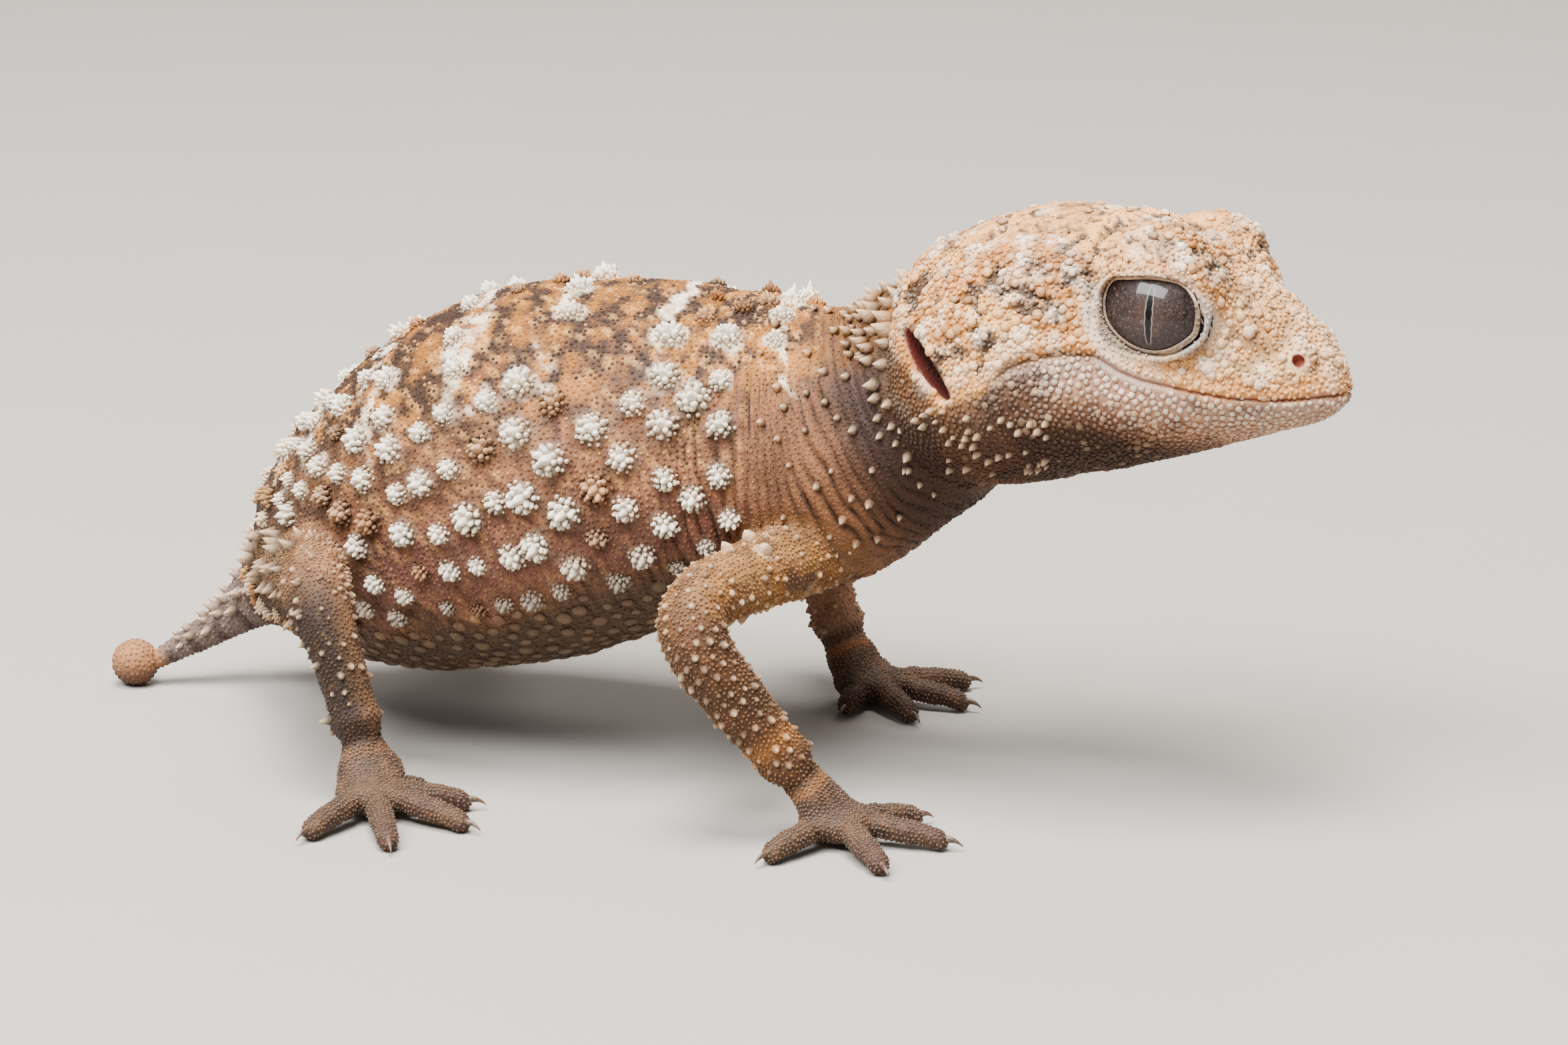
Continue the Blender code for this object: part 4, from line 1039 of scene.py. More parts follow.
@dataclass
class MarkingsAndPaintedLight:
    """The animal's colours with painted shade and light, worked out from where a point lies on its part."""

    gecko: Gecko

    def trunk(self, r: Regions) -> Array:
        """Ochre back with pale bars and a dark net, brown flanks, rosy low flanks, grey-brown neck, and
        painted shade on belly, neck, fold grooves and round the rosettes.
        """
        p, at, top = r.points, r.at, r.from_top
        rough, fine = noise(p, 3.4, 31, 3), noise(p, 0.8, 37, 2)
        _, grain, _ = scales(p, 0.42, 3)
        back = mix(Tone.ORANGE.rgb, Tone.OCHRE.rgb, 0.45 + 0.5 * fine + 0.5 * (grain - 0.5))
        back = mix(back, Tone.TAN.rgb, 0.45 * ramp(rough, 0.1, -0.4))
        blotch = noise(
            p * (1.3, 0.8, 0.8), 1.6, 51, 3
        ) + 0.3 * rough + 0.22 * fine + 0.13 * ramp(at, 8.2, 5.8)
        back = mix(back, Tone.BROWN.rgb, 0.85 * ramp(blotch, -0.2, 0.06))
        back = mix(back, Tone.DARK.rgb, 0.92 * ramp(blotch, 0.03, 0.2))
        back = mix(back, Tone.BROWN.rgb, 0.4 * ramp(grain, 0.8, 0.9))
        back = mix(back, Tone.CREAM.rgb, 0.5 * ramp(grain, 0.2, 0.08))
        flank = mix(Tone.FLANK.rgb, Tone.SHOULDER.rgb, 0.5 + 0.7 * rough)
        flank = mix(flank, Tone.BROWN.rgb, 0.75 * ramp(fine + 0.6 * rough, -0.15, 0.5))
        flank = mix(flank, Tone.BROWN.rgb, 0.6 * ramp(at, 8.0, 5.5))
        flank = mix(
            flank, Tone.DARK.rgb, 0.6 * ramp(blotch, 0.04, 0.24) * ramp(at, 9.3, 7.4) * ramp(top, 114, 96)
        )
        flank = mix(flank, Tone.CREAM.rgb, 0.4 * ramp(grain, 0.3, 0.14))
        flank = mix(flank, Tone.BROWN.rgb, 0.45 * ramp(veins(p * (1.0, 1.0, 0.42), 2.0, 55), 0.25, 0.9))
        colour = mix(back, flank, ramp(top + 14 * rough, 46, 76))
        low = hump(top, 108, 18) * ramp(at, 4.4, 6.0) * (1 - ramp(at, 9.3, 10.2))
        colour = mix(colour, mix(Tone.ROSE.rgb, Tone.PURPLE.rgb, 0.4 + 0.4 * rough), 0.7 * low)
        # Painted shade under the body: the belly and throat tones are darkened beyond the skin's own colour.
        belly = mix(Tone.BELLY.rgb, Tone.THROAT.rgb, 0.25 + 0.4 * fine)
        colour = mix(colour, belly, ramp(top + 6 * rough, 113, 132))
        rump = mix(Tone.RUMP.rgb, Tone.DARK.rgb, 0.25 + 0.7 * ramp(fine, 0.0, 0.8))
        colour = mix(colour, rump, 0.85 * ramp(at + 0.3 * rough, 6.5, 4.7) * (1 - ramp(top, 112, 135)))
        shoulder = mix(Tone.SHOULDER.rgb, Tone.BROWN.rgb, 0.4 + 0.5 * rough)
        colour = mix(colour, shoulder, ramp(at, 8.9, 10.0) * ramp(top, 40, 66) * 0.85)
        side = ramp(top, 38, 66)
        neck = mix(Tone.ORANGE.rgb, Tone.BROWN.rgb, 0.55 + 0.5 * fine)
        # Painted shade on the neck: darker on its sides under the head and on its underside.
        neck = mix(neck, mix(Tone.NECK.rgb, Tone.PURPLE.rgb, 0.2 + 0.3 * fine), side)
        neck = mix(neck, Tone.THROAT.rgb, np.maximum(ramp(top, 100, 128), 0.55 * ramp(at, 11.4, 12.0) * side))
        colour = mix(colour, neck, ramp(at, 10.3, 11.1))
        # Painted shade in the grooves of the folds, strongest on shoulder and neck.
        folds = self.gecko.trunk.folds(p, at)
        deep = (hump(at, 9.75, 0.9) * ramp(top, 42, 62) + ramp(at, 10.2, 11.0)) * folds
        colour = mix(colour, Tone.DARK.rgb, 0.8 * np.clip(deep, 0, 1) + 0.5 * ramp(top, 46, 70) * folds)
        rosettes = self.gecko.rosettes
        distance, pick = nearest(p, rosettes.spots)
        near = distance / rosettes.size[pick]
        # Painted shadow: a brown ring round each rosette on the flanks.
        colour = mix(
            colour, Tone.BROWN.rgb, 0.75 * hump(near, 1.25, 0.42) * ramp(top, 40, 60) * ramp(top, 130, 116)
        )
        on_top = 1.0 - ramp(top + 8 * fine, 48, 62)
        halo = ramp(near + 0.45 * noise(p, 1.2, 58), 1.5, 1.0) * (0.1 + 0.75 * on_top)
        halo = np.maximum(halo, 0.6 * ramp(near, 0.95, 0.6) * ramp(top, 122, 104)) * rosettes.white[pick]
        colour = mix(colour, mix(Tone.WHITE.rgb, Tone.PEARL.rgb, grain), 0.9 * halo)
        broken = ramp(noise(p, 1.5, 59, 2), -0.3, 0.1)
        bar = ramp(rosettes.bar_share(at + 0.1 * noise(p, 2.4, 57) + 0.06 * fine), 0.4, 0.75) * broken
        colour = mix(
            colour, mix(Tone.WHITE.rgb, Tone.PEARL.rgb, grain), 0.92 * bar * on_top * ramp(at, 4.6, 5.4)
        )
        tail = mix(Tone.TAIL.rgb, Tone.BROWN.rgb, 0.35 * ramp(rough, -0.3, 0.5))
        bands = ramp(np.sin(self.gecko.trunk.along(at) * 2.4 + 0.5 * rough), 0.0, 0.8) * ramp(top, 50, 85)
        colour = mix(colour, mix(tail, Tone.TAIL_BAND.rgb, 0.8 * bands), ramp(at, 3.5, 2.8))
        knob = mix(Tone.KNOB.rgb, Tone.KNOB_SHADE.rgb, ramp(p[:, 2], 2.9, 0.8))
        return mix(colour, knob, ramp(at, 0.15, -0.05))

    def head(self, r: Regions) -> Array:
        """Tan head with ochre patches, white round each pearl, thin dark crackle, and painted shade on the
        throat, the rear jaw, below the fold, behind the ear and in the creases.
        """
        p, head = r.local, self.gecko.head
        x, wide, z = p[:, 0], np.abs(p[:, 1]), p[:, 2]
        rough, fine = noise(p, 3.6, 61, 3), noise(p, 0.9, 63, 2)
        _, grain, _ = scales(p, 0.45, 5)
        colour = mix(Tone.CREAM.rgb, Tone.TAN.rgb, 0.55 + 0.6 * rough + 0.6 * (grain - 0.5))
        crown = head.on_crown(x, z)
        colour = mix(colour, mix(Tone.CROWN.rgb, Tone.PINK_TAN.rgb, 0.2 + 0.6 * rough), 0.9 * crown)
        ochre = ramp(noise(p, 4.2, 67, 3), -0.05, 0.35) * ramp(z, 0.5, 3.0) * (1 - 0.6 * crown)
        colour = mix(colour, mix(Tone.OCHRE.rgb, Tone.TAN.rgb, 0.3 + 0.5 * fine), 0.85 * ochre)
        near, _, held = head.pearls(p)
        pale = np.maximum(
            held * ramp(near + 0.25 * fine, 1.3, 0.5), 0.5 * ramp(noise(p, 2.2, 79, 2), 0.1, 0.5)
        )
        colour = mix(colour, mix(Tone.WHITE.rgb, Tone.PEARL.rgb, 0.5 + 0.5 * fine), 0.8 * pale)
        upper = ramp(z - head.mouth(x), 1.2, 2.6)
        smudge = ramp(noise(p, 2.4, 77, 2), 0.2, 0.6) * upper * (1 - 0.85 * pale)
        colour = mix(colour, Tone.BROWN.rgb, 0.45 * smudge)
        lines = head.crackle(p)
        colour = mix(colour, Tone.BROWN.rgb, 0.25 * ramp(lines, 0.02, 0.4) * crown)
        colour = mix(colour, Tone.CRACK.rgb, 0.92 * ramp(lines, 0.1, 0.75))
        colour = mix(colour, Tone.CRACK.rgb, 0.7 * ramp(grain, 0.92, 0.96) * upper)
        below = head.mouth(x) - z
        jaw = mix(Tone.TAN.rgb, Tone.LIP.rgb, 0.6 + 0.3 * rough)
        jaw = mix(jaw, Tone.PINK_TAN.rgb, 0.1 + 0.7 * ramp(below, 1.4, 4.2) + 0.25 * rough)
        jaw = mix(jaw, Tone.BROWN.rgb, 0.5 * ramp(noise(p, 1.6, 75, 2), 0.15, 0.5))
        # Painted shade: the lower jaw darkens downwards and rearwards into the throat.
        jaw = mix(jaw, Tone.BROWN.rgb, 0.7 * ramp(below + 0.12 * (16 - x), 2.6, 4.8))
        jaw = mix(jaw, Tone.THROAT.rgb, ramp(below - 0.2 * rough, 4.4, 6.8))
        colour = mix(colour, jaw, ramp(below, -0.3, 0.6) * ramp(x, 4.0, 9.0))
        # Painted shade on the rear of the lower jaw.
        rear_jaw = 0.75 * ramp(below, 0.5, 4.0) * (1 - ramp(x, 7.0, 11.0))
        colour = mix(colour, mix(Tone.BROWN.rgb, Tone.NECK.rgb, fine), rear_jaw)
        # Painted shade in the hollow below the fold.
        hollow_shade = mix(Tone.BROWN.rgb, Tone.NECK.rgb, 0.5 + 0.5 * fine)
        colour = mix(colour, hollow_shade, 0.86 * head.hollow_shade(x, wide, z))
        # Painted shade below and behind the ear.
        colour = mix(
            colour, mix(Tone.NECK.rgb, Tone.THROAT.rgb, 0.5 + 0.4 * fine), 0.85 * head.shade_behind_ear(x, z)
        )
        mouth = ramp(x, MOUTH_CORNER_X - 0.6, MOUTH_CORNER_X + 0.8)
        rear = mouth * (1 - ramp(x, 18.5, 24.0))
        colour = mix(colour, Tone.LIP.rgb, 0.9 * rear * hump(z - head.mouth(x), -0.1, 0.6))
        colour = mix(colour, Tone.MOUTH.rgb, 0.8 * mouth * hump(below, 0.0, 0.13))
        # Painted shade in the groove of the fold behind the mouth's corner.
        colour = mix(colour, Tone.CRACK.rgb, 0.7 * (1 - mouth) * ramp(x, 8.0, 10.0) * hump(below, 0.0, 0.17))
        snout = ramp(x, 23.5, 28.0) * ramp(z, -1.0, 1.5)
        colour = mix(colour, mix(Tone.PEARL.rgb, Tone.CREAM.rgb, 0.5 + 0.5 * rough), 0.45 * snout)
        folded = fold_over(p)
        hole = np.linalg.norm(folded - head.nostril, axis=1)
        colour = mix(colour, Tone.PEARL.rgb, 0.7 * ramp(hole, 1.3, 0.8))
        colour = mix(
            colour, Tone.NOSTRIL.rgb, ramp(hole, head.nostril_radius + 0.14, head.nostril_radius - 0.05)
        )
        slit = head.ear_reach(folded)
        colour = mix(colour, Tone.EAR.rgb, ramp(slit, 1.12, 1.0))
        # Painted shade: the ear's slit darker deeper inside.
        colour = mix(colour, Tone.EAR_DEEP.rgb, ramp(slit, 1.06, 0.9) * ramp(wide, 10.6, 9.4) * 0.8)
        # Painted shade in the crease round the rear of the eye's dome.
        colour = mix(colour, Tone.CRACK.rgb, head.crease(folded, 0.85, 1.12, 0.045))
        spread = head.lid_reach(x, z)
        lid = ramp(spread, 1.36, 1.12) * ramp(wide, 7.0, 8.0)
        colour = mix(colour, mix(Tone.PEARL.rgb, Tone.LIP.rgb, 0.5 + 0.5 * fine), 0.8 * lid)
        # Painted shadow along the lids' inner edge, where they meet the eyeball.
        colour = mix(colour, Tone.CRACK.rgb, 0.75 * ramp(spread, 1.04, 0.98) * ramp(wide, 7.0, 8.0))
        forward, _, up = (folded - head.eye_centre).T
        front_edge = ramp(forward, 2.0, 3.2) * ramp(up, 2.6, 1.4)
        edge = front_edge + 0.45 * ramp(-forward, 3.2, 3.9) * ramp(up, 2.2, 1.2)
        rim = mix(Tone.BLUE_WHITE.rgb, Tone.NECK.rgb, 0.5 * ramp(grain, 0.6, 0.9))
        return mix(colour, rim, 0.8 * lid * hump(spread, 1.12, 0.07) * edge)

    def limb(self, r: Regions) -> Array:
        """Golden upper arms, brown forearms, pinkish thighs, grey-brown shanks, netted hands and feet."""
        p, share = r.points, r.share
        rough, fine = noise(p, 2.6, 81, 2), noise(p, 0.7, 83, 2)
        _, grain, _ = scales(p, 0.36, 9)
        arm = mix(Tone.ARM.rgb, Tone.SHOULDER.rgb, 0.35 + 0.6 * rough)
        arm = mix(arm, Tone.ORANGE.rgb, 0.7 * ramp(noise(p, 1.7, 88, 2), 0.0, 0.45))
        arm = mix(arm, Tone.BROWN.rgb, 0.75 * ramp(noise(p, 1.6, 86, 2), 0.05, 0.45))
        arm = mix(arm, Tone.PEARL.rgb, 0.5 * ramp(noise(p, 1.5, 85), 0.35, 0.6) * hump(share, 0.27, 0.12))
        arm = mix(arm, Tone.PURPLE.rgb, 0.75 * ramp(noise(p, 2.8, 87), 0.2, 0.5) * hump(share, 0.25, 0.14))
        arm = mix(arm, mix(Tone.FOREARM.rgb, Tone.BROWN.rgb, 0.4 + 0.7 * rough), ramp(share, 0.42, 0.55))
        arm = mix(arm, Tone.TAN.rgb, 0.4 * hump(share, 0.79, 0.025))
        # Painted light: the far left arm is lightened because it lies in the body's shadow.
        arm = mix(arm, mix(Tone.PINK_TAN.rgb, Tone.LIP.rgb, 0.3), 0.6 * (r.limb == 1))
        leg = mix(Tone.THIGH.rgb, Tone.PINK_TAN.rgb, 0.4 + 0.6 * rough)
        leg = mix(leg, Tone.BROWN.rgb, 0.7 * ramp(noise(p, 2.0, 89, 2), -0.2, 0.3))
        # Painted shade on the rear face of the thigh.
        leg = mix(leg, Tone.RUMP.rgb, 0.8 * self.behind_leg(r) * ramp(share, 0.6, 0.5))
        shank = mix(Tone.SHANK.rgb, Tone.NECK.rgb, 0.5 + 0.5 * rough)
        shank = mix(shank, Tone.THIGH.rgb, 0.55 * self.behind_leg(r, -1.0))
        leg = mix(leg, shank, ramp(share, 0.52, 0.64))
        colour = mix(arm, leg, (r.limb >= 2).astype(float))
        # Painted shade in the crease at wrist and ankle; the dark grains are the skin's own.
        colour = mix(colour, Tone.DARK.rgb, 0.75 * hump(share, 0.885, 0.016) + 0.3 * ramp(grain, 0.86, 0.95))
        hand = mix(Tone.HAND.rgb, Tone.SHOULDER.rgb, 0.12 + 0.2 * fine)
        hand = mix(hand, Tone.PURPLE.rgb, 0.6 * ramp(rough, -0.1, 0.4))
        hand = mix(hand, Tone.TAN.rgb, np.where(r.limb < 2, 0.3, 0.1) * hump(share, 0.91, 0.015))
        colour = mix(colour, hand, ramp(share, 0.885, 0.91))
        return mix(colour, Tone.CREAM.rgb, (0.2 - 0.15 * ramp(share, 0.5, 0.6)) * ramp(grain, 0.15, 0.05))

    def behind_leg(self, r: Regions, way: float = 1.0) -> Array:
        """1 on the rear face of a leg, or on its front where the way is -1."""
        middle = np.zeros(len(r.points))
        for limb in self.gecko.limbs:
            mine = r.limb == limb.number
            middle[mine] = np.interp(r.share[mine], limb.share, limb.points[:, 0])
        return ramp(way * (middle - r.points[:, 0]), 0.6, 2.2)

    def colours(self, regions: Regions) -> Array:
        """Each part's colour, joined by how close the point lies to each part."""
        parts = (self.trunk, self.head, self.limb)
        return sum(regions.weights[:, k : k + 1] * part(regions) for k, part in enumerate(parts))


@dataclass
class Skin:
    """The one skin: all parts joined, opened for eyes, ears and nostrils, and eased at the joins."""

    gecko: Gecko
    ease_rounds: int = 14
    eye_gap: float = 0.05

    def trunk_grid(self) -> Array:
        """The body's tube with mounds under the rosettes and folds on shoulder and neck."""
        trunk = self.gecko.trunk
        at = trunk.ring_places()
        angle = np.arange(trunk.columns) * TURN / trunk.columns
        grid = trunk.surface(at[:, None], angle[None, :], -trunk.inset)
        flat = grid.reshape(-1, 3)
        stations = np.repeat(at, trunk.columns)
        from_top = np.abs(np.degrees((np.tile(angle, len(at)) - math.pi / 2 + math.pi) % TURN - math.pi))
        lift = self.gecko.rosettes.mound(flat) + 0.12 * noise(flat, 3.2, 21, 2) - 0.06
        shoulder = hump(stations, 9.75, 0.8) * ramp(from_top, 42, 60)
        neck = ramp(stations, 10.3, 11.0)
        lift -= (0.55 * shoulder + 0.26 * neck + 0.1 * ramp(from_top, 52, 80)) * trunk.folds(flat, stations)
        lift *= ramp(stations, 0.2, 1.2)
        return grid + grid_normals(grid) * lift.reshape(*grid.shape[:2], 1)

    def head_grid(self) -> Array:
        """The head's surface with its relief raised along the normals, on the model."""
        head = self.gecko.head
        grid = head.surface(head.ring_places())
        flat = grid.reshape(-1, 3)
        lift = head.relief(flat).reshape(*grid.shape[:2], 1)
        return head.placed(grid + grid_normals(grid) * lift)

    def lid_rims(self, side: int) -> List[Array]:
        """The eye's rims: a fleshy hoop hugging the eyeball, thick above, and a thin one inside it."""
        head = self.gecko.head
        hoops = []
        for grow, lift, thick, thin in ((0.16, 0.34, 0.6, 0.26), (-0.28, 0.1, 0.26, 0.16)):
            edge = head.eye_edge(150, grow)
            along, up = edge.T
            depth = np.sqrt(np.maximum(head.eye_radius**2 - along**2 - up**2, 2.5))
            middle = np.stack([along, depth, up], -1)
            outward = unit(middle)
            ahead = unit(np.roll(middle, -1, 0) - np.roll(middle, 1, 0))
            across = np.cross(ahead, outward)
            front = ramp(along, 0.5, 3.4) * ramp(-up, -1.6, 0.5)
            fleshy = ramp(up, -0.5, 1.6) * (0.72 + 0.28 * ramp(along, -2.5, 1.5))
            radius = thin + (thick - thin) * (fleshy if grow > 0 else front)
            turn = np.arange(14)[None, :, None] * TURN / 14
            ring = (middle + outward * lift)[:, None] + radius[:, None, None] * (
                outward[:, None] * 0.8 * np.cos(turn) + across[:, None] * np.sin(turn)
            )
            hoops.append(head.placed((ring + head.eye_centre) * (1, side, 1)))
        return hoops

    def opening(self, side: int) -> Array:
        """A short column with the outline of the eye's opening, from the eyeball's middle outwards."""
        head = self.gecko.head
        edge = head.eye_edge(90)
        depths = np.array([0.6, 3.0, 8.0])[:, None]
        ring = np.stack(np.broadcast_arrays(edge[None, :, 0], depths, edge[None, :, 1]), -1)
        return head.placed((ring + head.eye_centre) * (1, side, 1))

    def build(self) -> bpy.types.Object:
        """Joins every part, cuts the openings and eases the joins."""
        head = self.gecko.head
        skin = tube_mesh("gecko_skin", self.trunk_grid())
        pieces = [self.head_grid()]
        for limb in self.gecko.limbs:
            pieces += [limb.surface(), limb.pad(), *(limb.digit(*digit) for digit in limb.digits)]
        lowest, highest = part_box("tail_knob")
        knob = np.array((lowest + highest) / 2) / MM
        knob_radius = (highest.x - lowest.x) / MM / 2 - 0.06
        pieces.append(ball_grid(knob, np.full(3, knob_radius), rings=28, columns=36))
        combine(skin, [tube_mesh("piece", grid) for grid in pieces], "UNION")
        cuts = [self.opening(side) for side in (1, -1)]
        tilt = np.array(Matrix.Rotation(head.ear_tilt, 3, "Y"))
        for side in (1, -1):
            cuts.append(ball_grid(head.mirrored(head.nostril, side), np.full(3, head.nostril_radius)))
            slit = ball_grid(np.array(head.ear_centre), np.array(head.ear), tilt, 40, 30)
            cuts.append(head.placed(slit * (1, side, 1)))
        combine(skin, [tube_mesh("cut", grid) for grid in cuts], "DIFFERENCE")
        rims = [hoop for side in (1, -1) for hoop in self.lid_rims(side)]
        combine(skin, [tube_mesh("rim", hoop, ring_closed=True) for hoop in rims], "UNION")
        socket = np.full(3, head.eye_radius + self.eye_gap)
        middles = [head.mirrored(head.eye_centre, side) for side in (1, -1)]
        sockets = [tube_mesh("socket", ball_grid(middle, socket, rings=48, columns=72)) for middle in middles]
        combine(skin, sockets, "DIFFERENCE")
        self.ease(skin.data)
        skin.data.shade_smooth()
        return skin

    def ease(self, mesh: bpy.types.Mesh) -> None:
        """Draws the joins between parts into fillets and keeps every point above the floor."""
        points, _, edges = mesh_arrays(mesh)
        regions = self.gecko.regions(points)
        second = np.sort(regions.weights, axis=1)[:, 1]
        inside_digits = (regions.share > 0.9) & (regions.weights[:, 2] > 0.9)
        webbed = inside_digits & (regions.share < 1.35)
        mask = np.maximum(ramp(second, 0.06, 0.3), 0.7 * webbed)
        mask *= 1.0 - ramp(regions.local[:, 0], 6.0, 9.0) * ramp(regions.weights[:, 1], 0.5, 0.9)
        points = relax(points, edges, mask, self.ease_rounds)
        points[:, 2] = np.maximum(points[:, 2], 0.0)
        mesh.vertices.foreach_set("co", (points * MM).astype(np.float32).ravel())
        mesh.update()


@dataclass(frozen=True)
class SkinFinish:
    """Skin and coat: the pattern with its painted shade and light, with fine scale cells in colour, height and
    gloss.
    """

    name: str
    cell: float = 0.26
    grain: float = 0.9
    contrast: float = 0.22
    height: float = 0.07
    roughness: float = 0.66
    specular: float = 0.24
    sheen: float = 0.02

    def material(self) -> bpy.types.Material:
        """Builds the node material."""
        material, shader, add = new_material(self.name)
        place = add("ShaderNodeTexCoord").outputs["Object"]
        cells = add("ShaderNodeTexVoronoi", Vector=place, Scale=1.0 / (self.cell * MM)).outputs["Distance"]
        grain = add(
            "ShaderNodeTexNoise", Vector=place, Scale=1.0 / (self.grain * MM), Detail=4.0
        ).outputs["Fac"]
        marks = add("ShaderNodeAttribute", {"attribute_name": "markings"}).outputs["Color"]
        shade = add.span(cells, 0.0, 0.75, 1.0 + 0.5 * self.contrast, 1.0 - self.contrast)
        patch = add.span(grain, 0.3, 0.7, 1.0 - 0.6 * self.contrast, 1.0 + 0.4 * self.contrast)
        strength = add.maths("MULTIPLY", shade, patch)
        tint = add("ShaderNodeVectorMath", {"operation": "SCALE"}, marks, Scale=strength)
        bump = add("ShaderNodeBump", {"invert": True}, Height=cells, Distance=self.height * MM, Strength=0.8)
        add.wire(shader, {
            "Base Color": tint.outputs["Vector"],
            "Roughness": add.span(grain, 0.0, 1.0, self.roughness - 0.12, self.roughness + 0.14),
            "Normal": bump.outputs["Normal"],
            "Specular IOR Level": self.specular,
            "Sheen Weight": self.sheen,
        })
        return material


@dataclass(frozen=True)
class Nodes:
    """Adds shader nodes to a tree, linking sockets and setting plain values."""

    tree: bpy.types.NodeTree

    def wire(self, node: bpy.types.Node, values: Dict) -> None:
        """Links or sets inputs of a node, by name or number."""
        for key, value in values.items():
            if isinstance(value, bpy.types.NodeSocket):
                self.tree.links.new(value, node.inputs[key])
            else:
                node.inputs[key].default_value = value

    def __call__(
        self, kind: str, setup: Optional[Dict] = None, *sockets: object, **values: object
    ) -> bpy.types.Node:
        """Makes one node.

        Args:
            kind: the node's type.
            setup: the node's own settings by name.
            sockets: outputs or numbers for the inputs in order.
            values: outputs or numbers for inputs by name.

        Returns:
            The new node.
        """
        node = self.tree.nodes.new(kind)
        for name, value in (setup or {}).items():
            setattr(node, name, value)
        self.wire(node, dict(enumerate(sockets)))
        self.wire(node, values)
        return node

    def maths(self, operation: str, *values: object) -> bpy.types.NodeSocket:
        """One step of arithmetic on sockets or numbers."""
        return self("ShaderNodeMath", {"operation": operation}, *values).outputs[0]

    def blend(self, share: object, first: object, second: object) -> bpy.types.NodeSocket:
        """A colour between two, by a share."""
        node = self("ShaderNodeMix", {"data_type": "RGBA"}, Factor=share)
        for number, value in ((6, first), (7, second)):
            plain = not isinstance(value, bpy.types.NodeSocket)
            self.wire(node, {number: (*value, 1.0) if plain else value})
        return node.outputs[2]

    def span(
        self, value: object, low: float, high: float, start: float, end: float, kind: str = "LINEAR"
    ) -> bpy.types.NodeSocket:
        """A run from start to end while the value goes from low to high."""
        node = self("ShaderNodeMapRange", {"interpolation_type": kind}, Value=value)
        self.wire(node, {"From Min": low, "From Max": high, "To Min": start, "To Max": end})
        return node.outputs["Result"]

    def step(self, value: object, low: float, high: float) -> bpy.types.NodeSocket:
        """An S-shaped step from 0 at low to 1 at high."""
        falling = low > high
        ends = (high, low, 1.0, 0.0) if falling else (low, high, 0.0, 1.0)
        return self.span(value, *ends, "SMOOTHSTEP")


def new_material(name: str) -> Tuple[bpy.types.Material, bpy.types.Node, Nodes]:
    """A node material, its main shader and a maker of further nodes."""
    material = bpy.data.materials.new(name)
    material.use_nodes = True
    return material, material.node_tree.nodes["Principled BSDF"], Nodes(material.node_tree)


